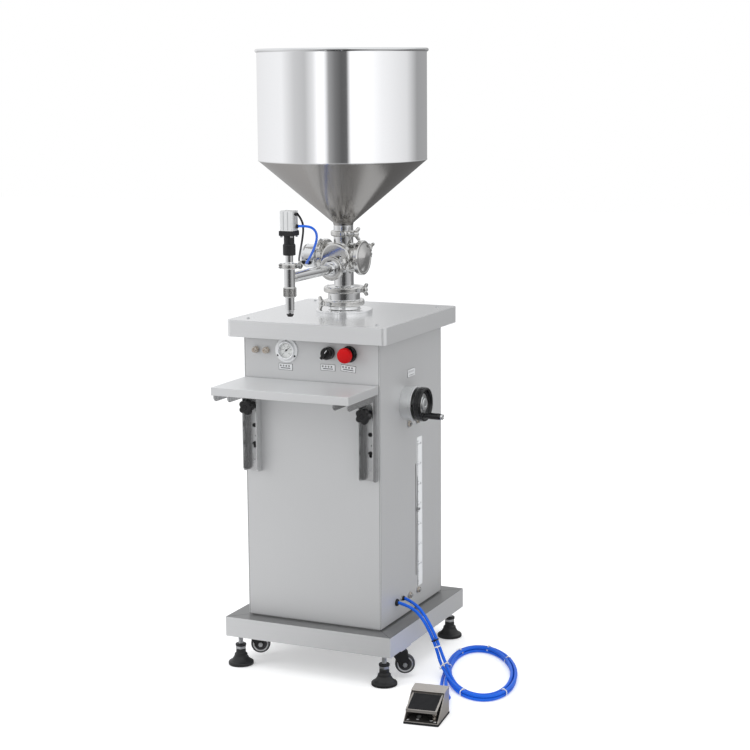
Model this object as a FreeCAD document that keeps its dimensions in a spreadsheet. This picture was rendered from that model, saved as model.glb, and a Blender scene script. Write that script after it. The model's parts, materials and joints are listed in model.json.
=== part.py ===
import FreeCAD, Part
import math
import os
import re

# Piston liquid filler: a hopper over a three-way valve, a piston cylinder in a
# cabinet on feet and casters, a shut-off nozzle over a height-adjustable shelf,
# and a foot valve on two air hoses.  Millimetres, +Z up, origin on the floor
# under the centre of the cabinet, -Y towards the operator.

doc = FreeCAD.newDocument("PistonFiller")
V = FreeCAD.Vector

# Driving dimensions -------------------------------------------------------

SIZES = {
    # base frame of mitred square tube
    "base_w": 454, "base_d": 468, "base_z": 77, "tube_side": 50, "tube_wall": 2.5,
    "caster_x": 202, "caster_y": 140, "caster_pad_l": 58, "caster_pad_t": 3,
    "caster_back_x": 115, "caster_back_y": 209,
    # levelling feet
    "foot_x": 199, "foot_y": 209, "foot_pad_r": 32, "foot_neck_r": 12, "foot_stud_r": 6,
    # casters
    "wheel_r": 25, "wheel_w": 16, "wheel_z": 33, "trail": 20, "fork_t": 2.5, "pin_r": 5,
    "axle_r": 3, "caster_turn": 24.8,
    # cabinet
    "cab_w": 366, "cab_d": 380, "cab_wall": 2, "cab_gap": 4, "cab_inset": 6,
    # table
    "table_w": 428, "table_d": 448, "table_z": 880, "table_skirt": 41.5, "table_t": 3,
    "table_corner": 12,
    # hopper
    "hopper_r": 209, "hopper_t": 2, "rim_r": 4.5, "rim_z": 1528, "seam_z": 1262,
    "cone_z": 1104, "neck_r": 24.5, "neck_t": 2.5,
    # product cylinder and piston
    "bore_r": 40, "barrel_t": 5, "barrel_z": 622, "flange_r": 71, "flange_t": 5,
    "stroke": 200, "piston_t": 28, "piston_z": 838, "rod_r": 8,
    "cross_z": 605, "cross_r": 30, "cross_t": 20,
    # air cylinder
    "air_r": 31.5, "air_t": 4.5, "air_cap": 78, "air_cap_t": 16, "air_top": 395,
    "column_at": 62, "column_r": 8,
    # sanitary joints
    "spool_r": 40, "spool_t": 2, "ferrule_r": 45.5, "ferrule_t": 5.5, "clamp_lower_z": 906.5,
    "clamp_upper_z": 940, "clamp_h": 15, "clamp_wall": 7,
    "neck_ferrule_r": 28, "hopper_clamp_z": 1080,
    # valve
    "valve_z": 1020, "valve_r": 38, "valve_half": 50, "rotor_r": 30, "port_r": 18,
    "boss_r": 39, "boss_y": 52, "side_ferrule_r": 43, "outlet_z": 998, "outlet_y": 70,
    "outlet_ferrule_r": 25.2, "actuator_r": 30, "actuator_x": 70, "actuator_len": 34,
    "stem_r": 6,
    # outlet pipe and nozzle
    "pipe_r": 12.5, "pipe_t": 2, "nozzle_y": 294, "tee_low": 977, "nozzle_joint_z": 1027,
    "nozzle_ferrule_r": 15.5, "nut_r": 16, "nut_low": 954, "nozzle_tube_r": 10.5,
    "collar_z": 922, "collar_r": 8.5, "tip_z": 910.5, "tip_bore_r": 7, "plug_low": 906.9,
    "plunger_r": 4, "stem_top": 1052, "coupling_r": 15, "coupling_top": 1079.4,
    "adapter_r": 12.5, "plate_low": 1098.5, "plate_side": 36, "air_low": 1110,
    "air_side": 34, "air_high": 1157, "air_chamfer": 3, "nozzle_bore_r": 12.5,
    # front panel
    "panel_row_z": 808, "gauge_x": -65, "gauge_r": 30.5, "dial_r": 18.5, "selector_x": 50,
    "stop_x": 104, "switch_r": 11, "knob_stem_r": 6, "selector_r": 15.5, "stop_r": 19,
    "fitting_x": -149, "fitting_step": 29, "fitting_z": 805.5,
    # shelf
    "shelf_w": 364, "shelf_d": 167, "shelf_h": 20, "shelf_z": 736, "shelf_gap": 4,
    "sheet_t": 2, "channel_x": 158, "channel_w": 40, "channel_d": 27, "channel_t": 2.5,
    "channel_low": 502, "slot_w": 12, "slot_low": 527, "slot_high": 690, "arm_low": 700,
    "shelf_knob_z": 667, "shelf_knob_r": 20, "stud_r": 4, "lower_hole_z": 615,
    "hole_step": 53, "slide_gap": 0.3,
    # stroke adjustment
    "wheel_y": -34, "wheel_axis_z": 668, "collar_w": 22, "adjust_collar_r": 41.5,
    "handwheel_r": 42.5, "handwheel_x": 219, "handwheel_t": 20, "shaft_r": 10,
    "crank_dy": -20, "crank_dz": -24, "crank_r": 8, "crank_len": 51, "crank_pin_r": 4,
    "screw_x": 120, "screw_r": 8, "guide_x": 140, "guide_y": 10, "guide_r": 6,
    "gear_r": 18, "bracket_low": 160, "bracket_high": 634, "pointer_y": 26,
    "pointer_z": 383, "slit_w": 6, "slit_low": 212, "slit_high": 502,
    "scale_y": 32, "scale_w": 31, "scale_low": 182, "scale_high": 568,
    # foot valve
    "pedal_x": 385, "pedal_y": -383, "pedal_turn": 7, "pedal_w": 82, "pedal_d": 96,
    "pedal_h": 66, "mat_t": 5, "shell_t": 1.6, "pedal_plate_w": 74, "pedal_plate_l": 68,
    "pedal_pivot_y": 22, "pedal_pivot_z": 52, "pedal_slope": 19, "hood_front": 16,
    "side_slope": 39.3,
    "valve_block_w": 34, "push_r": 7, "push_y": 60, "push_z": 24, "push_x": 22, "push_step": 16,
    # hoses
    "hose_d": 8, "hose_exit_y": -98, "hose_exit_z": 175, "hose_step_y": 31, "hose_step_z": 3,
    # running clearance of a shaft in its hole, per radius
    "play": 0.05,
}

sheet = doc.addObject("Spreadsheet::Sheet", "Sizes")
for row, (alias, value) in enumerate(SIZES.items(), start=1):
    sheet.set("A%d" % row, alias)
    sheet.set("B%d" % row, str(value))
    sheet.setAlias("B%d" % row, alias)
doc.recompute()

WORDS = re.compile(r"[a-z_][a-z_]+")


def size(name):
    """The value of one cell of the sheet."""
    return float(sheet.get(name))


def formula(text):
    """Turn bare size names in an expression into references to the sheet."""
    def refer(found):
        word = found.group(0)
        return "Sizes." + word if word in SIZES else word
    return WORDS.sub(refer, text)


def bind(obj, prop, value):
    if isinstance(value, str):
        obj.setExpression(prop, formula(value))
    else:
        setattr(obj, prop, value)


# Rotations that turn a solid's own +Z onto the named direction.
TURN = {
    "Z": FreeCAD.Rotation(),
    "X": FreeCAD.Rotation(V(0, 1, 0), 90),
    "-X": FreeCAD.Rotation(V(0, 1, 0), -90),
    "Y": FreeCAD.Rotation(V(1, 0, 0), -90),
    "-Y": FreeCAD.Rotation(V(1, 0, 0), 90),
}


def place(obj, at, rotation=None):
    """Give an object its rotation, and bind its base point to expressions."""
    base = [0.0, 0.0, 0.0]
    for i in range(3):
        if not isinstance(at[i], str):
            base[i] = at[i]
    obj.Placement = FreeCAD.Placement(V(*base), rotation or FreeCAD.Rotation())
    for letter, value in zip("xyz", at):
        if isinstance(value, str):
            obj.setExpression("Placement.Base." + letter, formula(value))
    return obj


def solid(kind, at, rotation=None, **props):
    obj = doc.addObject("Part::" + kind, kind)
    for prop, value in props.items():
        bind(obj, prop, value)
    return place(obj, at, rotation)


def box(x, y, z, length, width, height, rotation=None):
    return solid("Box", (x, y, z), rotation, Length=length, Width=width, Height=height)


def cyl(x, y, z, r, height, axis="Z"):
    return solid("Cylinder", (x, y, z), TURN[axis], Radius=r, Height=height)


def cone(x, y, z, r_start, r_end, height, axis="Z"):
    return solid("Cone", (x, y, z), TURN[axis], Radius1=r_start, Radius2=r_end, Height=height)


def ring(x, y, z, r_middle, r_section, axis="Z"):
    return solid("Torus", (x, y, z), TURN[axis], Radius1=r_middle, Radius2=r_section)


def prism(x, y, z, sides, r, height, axis="Z"):
    obj = solid("Prism", (x, y, z), TURN[axis], Circumradius=r, Height=height)
    obj.Polygon = sides
    return obj


def fuse(*parts):
    obj = doc.addObject("Part::MultiFuse", "Fusion")
    obj.Shapes = list(parts)
    obj.Refine = True
    return obj


def cut(base, *tools):
    obj = doc.addObject("Part::Cut", "Cut")
    obj.Base = base
    obj.Tool = tools[0] if len(tools) == 1 else fuse(*tools)
    return obj


def common(base, tool):
    obj = doc.addObject("Part::Common", "Common")
    obj.Base = base
    obj.Tool = tool
    return obj


def group(parts, at=(0, 0, 0), rotation=None):
    obj = doc.addObject("Part::Compound", "Group")
    obj.Links = list(parts)
    return place(obj, at, rotation)


NODES = {}


def node(name, obj):
    obj.Label = name
    NODES[name] = obj
    return obj


def tube(x, y, z, r_out, wall, height, axis="Z"):
    """A round tube, its wall given inwards."""
    return cut(cyl(x, y, z, r_out, height, axis),
               cyl(x, y, z, "(%s) - (%s)" % (r_out, wall), height, axis))


def both(sign_names):
    """Left and right, or front and back, as the sign of an expression."""
    return [("-", sign_names[0]), ("", sign_names[1])]


CORNERS = [("-", "-", "fl"), ("", "-", "fr"), ("-", "", "bl"), ("", "", "br")]


# Base, feet and casters -----------------------------------------------------

def caster_seat(sx, sy):
    """Centre of a caster's kingpin: beside the front feet, and inboard of the back ones."""
    if sy == "-":
        return sx + "caster_x", sy + "caster_y"
    return sx + "caster_back_x", sy + "caster_back_y"


def base_frame():
    outer = box("-base_w / 2", "-base_d / 2", "base_z", "base_w", "base_d", "tube_side")
    middle = box("-base_w / 2 + tube_side", "-base_d / 2 + tube_side", "base_z - 1",
                 "base_w - 2 * tube_side", "base_d - 2 * tube_side", "tube_side + 2")
    hollow_out = box("-base_w / 2 + tube_wall", "-base_d / 2 + tube_wall",
                     "base_z + tube_wall", "base_w - 2 * tube_wall",
                     "base_d - 2 * tube_wall", "tube_side - 2 * tube_wall")
    hollow_in = box("-base_w / 2 + tube_side - tube_wall", "-base_d / 2 + tube_side - tube_wall",
                    "base_z", "base_w - 2 * tube_side + 2 * tube_wall",
                    "base_d - 2 * tube_side + 2 * tube_wall", "tube_side")
    frame = cut(outer, middle, cut(hollow_out, hollow_in))
    pads = []
    holes = []
    for sx, sy, name in CORNERS:
        x, y = caster_seat(sx, sy)
        wide, deep = "tube_side", "caster_pad_l"
        if sy != "-":
            wide, deep = deep, wide
        pads.append(box("%s - %s / 2" % (x, wide), "%s - %s / 2" % (y, deep),
                        "base_z - caster_pad_t", wide, deep, "caster_pad_t"))
        holes.append(cyl(x, y, "base_z - caster_pad_t - 1", "pin_r + play", 10))
        holes.append(cyl(sx + "foot_x", sy + "foot_y", "base_z - 1", "foot_stud_r + play", 10))
    node("base_frame", cut(fuse(frame, *pads), *holes))


def levelling_feet():
    parts = []
    for sx, sy, name in CORNERS:
        x = sx + "foot_x"
        y = sy + "foot_y"
        parts.append(fuse(cyl(x, y, 0, "foot_pad_r", 7),
                          cone(x, y, 7, "foot_pad_r", "foot_neck_r + 4", 16),
                          cyl(x, y, 23, "foot_neck_r + 4", 4),
                          cyl(x, y, 27, "foot_neck_r", 14)))
        parts.append(cut(prism(x, y, 41, 6, 13.9, 13), cyl(x, y, 40, "foot_stud_r + play", 15)))
        parts.append(cyl(x, y, 41, "foot_stud_r", 64))
    node("levelling_feet", group(parts))


def casters():
    """Four swivelling casters, their wheels trailing beside the kingpin."""
    turn = FreeCAD.Rotation(V(0, 0, 1), SIZES["caster_turn"])
    half = "wheel_w / 2 + 3"
    for sx, sy, name in CORNERS:
        at = (*caster_seat(sx, sy), 0)
        plate = cyl(0, 0, "base_z - caster_pad_t - 6", 19, 5.5)
        crown = box(-12, "-(%s) - fork_t" % half, "base_z - caster_pad_t - 6",
                    "trail + 22", "wheel_w + 6 + 2 * fork_t", 3)
        pin = cyl(0, 0, "base_z - caster_pad_t - 1", "pin_r", 14)
        legs = []
        for y in ("-(%s) - fork_t" % half, half):
            legs.append(box("trail - 12", y, "wheel_z - 8", 24, "fork_t",
                            "base_z - caster_pad_t - 4 - wheel_z + 8"))
        axle = cyl("trail", "-(%s) - fork_t - 2" % half, "wheel_z", "axle_r",
                   "wheel_w + 6 + 2 * fork_t + 4", "Y")
        heads = [cyl("trail", "-(%s) - fork_t - 4" % half, "wheel_z", 5.5, 4, "Y"),
                 cyl("trail", half + " + fork_t", "wheel_z", 5.5, 4, "Y")]
        fork = fuse(plate, crown, pin, axle, *(legs + heads))
        node("caster_fork_" + name, group([fork], at, turn))

        tyre = cyl("trail", "-wheel_w / 2", "wheel_z", "wheel_r", "wheel_w", "Y")
        hub = cyl("trail", "-wheel_w / 2 - 2.5", "wheel_z", 9, "wheel_w + 5", "Y")
        hole = cyl("trail", "-wheel_w", "wheel_z", "axle_r + play", "2 * wheel_w", "Y")
        node("caster_wheel_" + name, group([cut(fuse(tyre, hub), hole)], at, turn))


# Cabinet and table -----------------------------------------------------------

CAB_TOP = "table_z - table_t"
CAB_LOW = "base_z + tube_side + cab_gap"
CAB_FLOOR = CAB_LOW + " + cab_wall"
FRONT = "-cab_d / 2"
SIDE = "cab_w / 2"


def cabinet_shell():
    outer = box("-" + SIDE, FRONT, CAB_LOW, "cab_w", "cab_d", "%s - (%s)" % (CAB_TOP, CAB_LOW))
    floor = box("-%s + cab_inset" % SIDE, "%s + cab_inset" % FRONT, "base_z + tube_side",
                "cab_w - 2 * cab_inset", "cab_d - 2 * cab_inset", "cab_gap + 1")
    inner = box("-%s + cab_wall" % SIDE, "%s + cab_wall" % FRONT, CAB_FLOOR,
                "cab_w - 2 * cab_wall", "cab_d - 2 * cab_wall", "table_z")
    shell = fuse(cut(outer, inner), floor)
    row = "panel_row_z"
    depth = "cab_wall + 2"
    holes = [
        box("-cab_w / 2 + 22", "cab_d / 2 - cab_wall - 1", CAB_LOW + " + 22", "cab_w - 44",
            depth, "%s - (%s) - 66" % (CAB_TOP, CAB_LOW)),
        cyl("gauge_x", FRONT + " - 1", row, "gauge_r - 6.45", depth, "Y"),
        cyl("selector_x", FRONT + " - 1", row, "switch_r + play", depth, "Y"),
        cyl("stop_x", FRONT + " - 1", row, "switch_r + play", depth, "Y"),
        cyl(SIDE + " - cab_wall - 1", "wheel_y", "wheel_axis_z", "2 * shaft_r + play", depth, "X"),
        box(SIDE + " - cab_wall - 1", "pointer_y - slit_w / 2", "slit_low", depth, "slit_w",
            "slit_high - slit_low"),
    ]
    for i in range(2):
        holes.append(cyl("fitting_x + %d * fitting_step" % i, FRONT + " - 1", "fitting_z",
                         5.05, depth, "Y"))
        holes.append(cyl(SIDE + " - cab_wall - 1", "hose_exit_y + %d * hose_step_y" % i,
                         "hose_exit_z + %d * hose_step_z" % i, "hose_d / 2 + 1.55", depth, "X"))
    for sign in ("-", ""):
        x = sign + "channel_x"
        holes.append(cyl(x, FRONT + " - 1", "shelf_knob_z", "stud_r + play", depth, "Y"))
        for i in range(2):
            holes.append(cyl(x, FRONT + " - 1", "lower_hole_z - %d * hole_step" % i,
                             "stud_r + play", depth, "Y"))
    for y in BOLT_Y:
        for z in BOLT_Z:
            holes.append(cyl(SIDE + " - cab_wall - 1", y, z, 4.05, depth, "X"))
    for x, z in rear_screw_places():
        holes.append(cyl(x, "cab_d / 2 - cab_wall - 1", z, 2.05, depth, "Y"))
    node("cabinet_shell", cut(shell, *holes))


BOLT_Y = ("guide_y - 29", "guide_y + 24")
BOLT_Z = ("bracket_low + 13", "bracket_high - 21")


def rear_panel():
    low = CAB_LOW + " + 12"
    plate = box("-cab_w / 2 + 12", "cab_d / 2", low, "cab_w - 24", "cab_wall",
                "%s - (%s) - 56" % (CAB_TOP, CAB_LOW))
    inlet = cyl(0, "cab_d / 2 - 1", "hose_exit_z + 25", 8.05, "cab_wall + 2", "Y")
    holes = [inlet]
    for x, z in rear_screw_places():
        holes.append(cyl(x, "cab_d / 2 - 1", z, 2.05, "cab_wall + 2", "Y"))
    node("rear_panel", cut(plate, *holes))


def rear_screw_places():
    places = []
    for sign in ("-", ""):
        for share in (0, 1, 2):
            places.append((sign + "(cab_w / 2 - 17)",
                           "%s + 18 + %d * (%s - (%s) - 68) / 2" % (CAB_LOW, share, CAB_TOP, CAB_LOW)))
    return places


def table_top():
    def rounded(inset, z, height, corner):
        """A block with round upright edges, inset from the table's outline."""
        w = "(table_w - 2 * (%s))" % inset
        d = "(table_d - 2 * (%s))" % inset
        parts = [box("-%s / 2 + (%s)" % (w, corner), "-%s / 2" % d, z,
                     "%s - 2 * (%s)" % (w, corner), d, height),
                 box("-%s / 2" % w, "-%s / 2 + (%s)" % (d, corner), z, w,
                     "%s - 2 * (%s)" % (d, corner), height)]
        for sx in ("-", ""):
            for sy in ("-", ""):
                parts.append(cyl("%s(%s / 2 - (%s))" % (sx, w, corner),
                                 "%s(%s / 2 - (%s))" % (sy, d, corner), z, corner, height))
        return fuse(*parts)
    outer = rounded("0", "table_z - table_skirt", "table_skirt", "table_corner")
    inner = rounded("table_t", "table_z - table_skirt - 1", "table_skirt - table_t + 1",
                    "table_corner - table_t")
    hole = cyl(0, 0, "table_z - table_t - 1", "bore_r + barrel_t + 0.5", "table_t + 2")
    screws = [cyl(x, y, "table_z - table_t - 1", 2.55, "table_t + 2")
              for x, y in table_screw_places()]
    node("table_top", cut(outer, inner, hole, *screws))


def table_screw_places():
    return [("%s(table_w / 2 - 40)" % sx, "%s(table_d / 2 - 40)" % sy)
            for sx, sy, name in CORNERS]


def screws():
    """Small screws of the table, the rear panel, the front and the side."""
    parts = []
    for x, y in table_screw_places():
        parts.append(fuse(cyl(x, y, "table_z", 4, 1.2), cyl(x, y, "table_z - 12", 2.5, 12.5)))
    for x, z in rear_screw_places():
        parts.append(fuse(cyl(x, "cab_d / 2 + cab_wall", z, 4, 2.5, "Y"),
                          cyl(x, "cab_d / 2 - 1", z, 2, "cab_wall + 1.5", "Y")))
    for sign in ("-", ""):
        for i in range(2):
            z = "lower_hole_z - %d * hole_step" % i
            parts.append(cyl(sign + "channel_x", FRONT, z, "stud_r", "cab_wall + 6", "Y"))
    for y in BOLT_Y:
        for z in BOLT_Z:
            head = prism(SIDE, y, z, 6, 7.5, 5.5, "X")
            parts.append(fuse(head, cyl(SIDE + " - 16", y, z, 4, 20, "X"),
                              cyl(SIDE + " + 5", y, z, 4, 4, "X")))
    node("screws", group(parts))


# Shelf -------------------------------------------------------------------------

SHELF_BACK = "-cab_d / 2 - shelf_gap"


def shelf_tray():
    front = SHELF_BACK + " - shelf_d"
    outer = box("-shelf_w / 2", front, "shelf_z - shelf_h", "shelf_w", "shelf_d", "shelf_h")
    inner = box("-shelf_w / 2 + sheet_t", front + " + sheet_t", "shelf_z - shelf_h - 1",
                "shelf_w - 2 * sheet_t", "shelf_d - 2 * sheet_t", "shelf_h + 1 - sheet_t")
    node("shelf_tray", cut(outer, inner))


def shelf_bracket(side):
    """One folded bracket: an upright slotted channel with an arm under the tray."""
    x = side + "channel_x"
    left = x + " - channel_w / 2"
    web_y = "%s - slide_gap - channel_t" % FRONT
    front_y = "%s - slide_gap - channel_d" % FRONT
    arm_front = "%s - shelf_d + sheet_t + 2" % SHELF_BACK
    arm_back = "%s - sheet_t - 1" % SHELF_BACK
    arm_top = "shelf_z - sheet_t"
    low_top = "shelf_z - shelf_h"
    parts = [box(left, web_y, "channel_low", "channel_w", "channel_t",
                 "%s - channel_low" % low_top),
             box(left, arm_front, arm_top + " - channel_t", "channel_w",
                 "%s - (%s)" % (arm_back, arm_front), "channel_t")]
    for edge in (left, left + " + channel_w - channel_t"):
        parts.append(box(edge, front_y, "channel_low + 12", "channel_t", "channel_d",
                         "%s - channel_low - 12" % low_top))
        parts.append(box(edge, front_y + " + 12", "channel_low", "channel_t",
                         "channel_d - 12", 13))
        parts.append(cyl(edge, front_y + " + 12", "channel_low + 12", 12, "channel_t", "X"))
        parts.append(box(edge, arm_front + " + 12", "arm_low", "channel_t",
                         "%s - (%s) - 12" % (arm_back, arm_front), "%s - arm_low" % arm_top))
        parts.append(box(edge, arm_front, "arm_low + 12", "channel_t", 13,
                         "%s - arm_low - 12" % arm_top))
        parts.append(cyl(edge, arm_front + " + 12", "arm_low + 12", 12, "channel_t", "X"))
        parts.append(box(edge, web_y + " - 4", "arm_low", "channel_t", "4 + channel_t",
                         "%s - arm_low" % low_top))
    slot = [box(x + " - slot_w / 2", web_y + " - 1", "slot_low + slot_w / 2", "slot_w",
                "channel_t + 2", "slot_high - slot_low - slot_w"),
            cyl(x, web_y + " - 1", "slot_low + slot_w / 2", "slot_w / 2", "channel_t + 2", "Y"),
            cyl(x, web_y + " - 1", "slot_high - slot_w / 2", "slot_w / 2", "channel_t + 2", "Y")]
    return cut(fuse(*parts), *slot)


def shelf_brackets():
    node("shelf_brackets", group([shelf_bracket("-"), shelf_bracket("")]))


def shelf_knobs():
    """Five-lobed knobs with a stud through the slot into the cabinet."""
    for sign, name in both(("l", "r")):
        x = sign + "channel_x"
        face = "%s - slide_gap - channel_t - 0.3" % FRONT
        back = "%s - slide_gap - channel_d - 0.7" % FRONT
        parts = [cyl(x, face, "shelf_knob_z", 9, "%s - (%s)" % (face, back), "-Y"),
                 cyl(x, back, "shelf_knob_z", "shelf_knob_r - 5", 20, "-Y"),
                 cyl(x, FRONT + " + cab_wall + 8", "shelf_knob_z", "stud_r",
                     "cab_wall + 8 - (%s) + (%s) + 1" % (face, FRONT), "-Y")]
        for i in range(5):
            a = math.radians(90 + 72 * i)
            parts.append(cyl("%s + (shelf_knob_r - 6.5) * %.5f" % (x, math.cos(a)), back,
                             "shelf_knob_z + (shelf_knob_r - 6.5) * %.5f" % math.sin(a),
                             6.5, 16, "-Y"))
        node("shelf_knob_" + name, fuse(*parts))


# Front panel ---------------------------------------------------------------------

def gauge():
    row = "panel_row_z"
    case = fuse(cyl("gauge_x", FRONT, row, "gauge_r", 3.5, "-Y"),
                cyl("gauge_x", FRONT, row, "dial_r + 4", 9, "-Y"),
                cyl("gauge_x", FRONT, row, "gauge_r - 6.5", 34, "Y"),
                prism("gauge_x", FRONT + " + 33", row, 6, 8, 12, "Y"))
    recess = cyl("gauge_x", FRONT + " - 10", row, "dial_r", 10, "Y")
    pin = cyl("gauge_x", FRONT + " + 1", row, 0.8, 3, "-Y")
    screws_out = []
    for a in (90, 210, 330):
        x = "gauge_x + (gauge_r - 4.5) * %.5f" % math.cos(math.radians(a))
        z = "panel_row_z + (gauge_r - 4.5) * %.5f" % math.sin(math.radians(a))
        screws_out.append(cyl(x, FRONT + " - 3", z, 2, 1.6, "-Y"))
    node("gauge_case", fuse(cut(case, recess), pin, *screws_out))
    node("gauge_lens", cyl("gauge_x", FRONT + " - 8", row, "dial_r - play", 1.5, "Y"))
    hub = cyl("gauge_x", FRONT + " - 0.7", row, 2.2, 1.8, "-Y")
    hand = box("gauge_x - 4", FRONT + " - 2", row + " - 0.6", 17.5, 0.7, 1.2)
    bore = cyl("gauge_x", FRONT, row, "0.8 + play", 4, "-Y")
    tilt = FreeCAD.Rotation(V(0, 1, 0), 140)
    pointer = cut(fuse(hub, hand), bore)
    swung = group([pointer])
    swung.Placement = FreeCAD.Placement(V(0, 0, 0), tilt,
                                        V(SIZES["gauge_x"], 0, SIZES["panel_row_z"]))
    node("gauge_needle", swung)


def switches():
    row = "panel_row_z"
    parts = []
    for x, r, proud in (("selector_x", 14.5, 4.5), ("stop_x", 19.5, 9)):
        body = fuse(cyl(x, FRONT, row, r, proud, "-Y"),
                    cyl(x, FRONT + " - 1", row, "switch_r", 22, "Y"),
                    box(x + " - 14", FRONT + " + 20", row + " - 14", 28, 42, 28))
        parts.append(cut(body, cyl(x, FRONT + " - 12", row, "knob_stem_r + play", 34, "Y")))
    node("switch_bodies", group(parts))

    face = FRONT + " - 5"
    knob = fuse(cyl("selector_x", face, row, "selector_r", 17, "-Y"),
                box("selector_x - 3.5", face + " - 25", row + " - selector_r", 7, 12,
                    "2 * selector_r"),
                cyl("selector_x", face + " - 1", row, "knob_stem_r", 22, "Y"))
    node("selector_knob", knob)

    low = FRONT + " - 16"
    head = fuse(cyl("stop_x", low, row, "stop_r - 2", 3, "-Y"),
                cyl("stop_x", low + " - 3", row, "stop_r", 9, "-Y"),
                cone("stop_x", low + " - 12", row, "stop_r", "stop_r - 5", 4, "-Y"),
                cone("stop_x", low + " - 16", row, "stop_r - 5", "stop_r - 13", 2, "-Y"),
                cyl("stop_x", low + " - 1", row, "knob_stem_r", 29, "Y"))
    node("stop_button", head)


def panel_fittings():
    """Throttle fittings on the front, hose glands on the side, air inlet behind."""
    parts = []
    for i in range(2):
        x = "fitting_x + %d * fitting_step" % i
        out = fuse(prism(x, FRONT, "fitting_z", 6, 9.2, 5, "-Y"),
                   cyl(x, FRONT + " - 4", "fitting_z", 7, 9, "-Y"),
                   cyl(x, FRONT + " - 1", "fitting_z", 5, 14, "Y"))
        parts.append(cut(out, cyl(x, FRONT + " - 14", "fitting_z", 3.5, 9, "Y")))
        y = "hose_exit_y + %d * hose_step_y" % i
        z = "hose_exit_z + %d * hose_step_z" % i
        gland = fuse(cyl(SIDE, y, z, "hose_d / 2 + 3 - %d" % i, "5 + %d" % (4 * i), "X"),
                     cyl(SIDE + " - cab_wall - 3", y, z, "hose_d / 2 + 1.5", "cab_wall + 4", "X"),
                     cyl(SIDE + " - cab_wall - 5", y, z, "hose_d / 2 + 3", 5, "X"))
        parts.append(gland)
    y0 = "cab_d / 2 - cab_wall"
    z0 = "hose_exit_z + 25"
    inlet = fuse(cyl(0, y0 + " - 20", z0, 8, "20 + 2 * cab_wall + 16", "Y"),
                 prism(0, "cab_d / 2 + cab_wall", z0, 6, 11, 6, "Y"))
    parts.append(cut(inlet, cyl(0, "cab_d / 2 + cab_wall", z0, "hose_d / 2 + play", 20, "Y")))
    node("panel_fittings", group(parts))


# Stroke adjustment ------------------------------------------------------------------

def wheel_collar():
    y = "wheel_y"
    z = "wheel_axis_z"
    body = fuse(cyl(SIDE, y, z, "adjust_collar_r", "collar_w", "X"),
                cyl(SIDE + " + collar_w", y, z, "adjust_collar_r + 1.5", 8, "X"),
                cyl(SIDE + " - 20", y, z, "2 * shaft_r", 21, "X"))
    node("wheel_collar", cut(body, cyl(SIDE + " - 25", y, z, "shaft_r + play", 70, "X")))


def handwheel():
    y = "wheel_y"
    z = "wheel_axis_z"
    x = "handwheel_x"
    rim = cut(cyl(x, y, z, "handwheel_r", "handwheel_t", "X"),
              cyl(x + " + 9", y, z, "handwheel_r - 8", "handwheel_t", "X"))
    hub = cyl(x + " - 4", y, z, 14, "handwheel_t + 2", "X")
    shaft = cyl("screw_x + gear_r", y, z, "shaft_r", "handwheel_x - screw_x - gear_r + 1", "X")
    gear = cone("screw_x + gear_r / 2", y, z, "gear_r / 2 - 0.6", "gear_r - 0.6",
                "gear_r / 2", "X")
    tail = cyl("screw_x + gear_r - 1", y, z, "shaft_r", 4, "X")
    boss = cyl(x + " + 4", "wheel_y + crank_dy", "wheel_axis_z + crank_dz", 7, 15, "X")
    hole = cyl(x + " - 1", "wheel_y + crank_dy", "wheel_axis_z + crank_dz",
               "crank_pin_r + play", 30, "X")
    node("handwheel", cut(fuse(rim, hub, shaft, gear, tail, boss), hole))

    grip_x = x + " + handwheel_t + 1"
    grip = fuse(cyl(grip_x, "wheel_y + crank_dy", "wheel_axis_z + crank_dz", "crank_r",
                    "crank_len", "X"),
                cyl(x + " + 1", "wheel_y + crank_dy", "wheel_axis_z + crank_dz", "crank_pin_r",
                    "handwheel_t + 2", "X"))
    node("crank_handle", grip)


def leadscrew():
    top = "wheel_axis_z - gear_r"
    screw = cyl("screw_x", "wheel_y", "bracket_low - 8", "screw_r",
                "%s - bracket_low + 9" % top)
    gear = cone("screw_x", "wheel_y", top, "gear_r - 0.6", "gear_r / 2 - 0.6", "gear_r / 2")
    stop = cyl("screw_x", "wheel_y", "bracket_high + 0.3", 11, 4)
    node("leadscrew", fuse(screw, gear, stop))


def adjust_bracket():
    plate_x = "cab_w / 2 - cab_wall - 6"
    plate = box(plate_x, "guide_y - 62", "bracket_low - 20", 6, 104, "bracket_high - bracket_low + 31")
    parts = [plate, cyl("guide_x", "guide_y", "bracket_low + 8", "guide_r",
                        "bracket_high - bracket_low - 16")]
    for z in ("bracket_low", "bracket_high - 16"):
        parts.append(box("screw_x - 16", "wheel_y - 16", z, "%s - screw_x + 17" % plate_x,
                         "guide_y - wheel_y + 30", 16))
    holes = [cyl("screw_x", "wheel_y", "bracket_low - 1", "screw_r + play",
                 "bracket_high - bracket_low + 2"),
             box(plate_x + " - 1", "pointer_y - slit_w / 2", "slit_low", 8, "slit_w",
                 "slit_high - slit_low"),
             cyl(plate_x + " - 1", "wheel_y", "wheel_axis_z", "2 * shaft_r + 1", 8, "X")]
    for y in BOLT_Y:
        for z in BOLT_Z:
            holes.append(cyl(plate_x + " - 10", y, z, 4.05, 17, "X"))
    node("adjust_bracket", cut(fuse(*parts), *holes))


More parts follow.
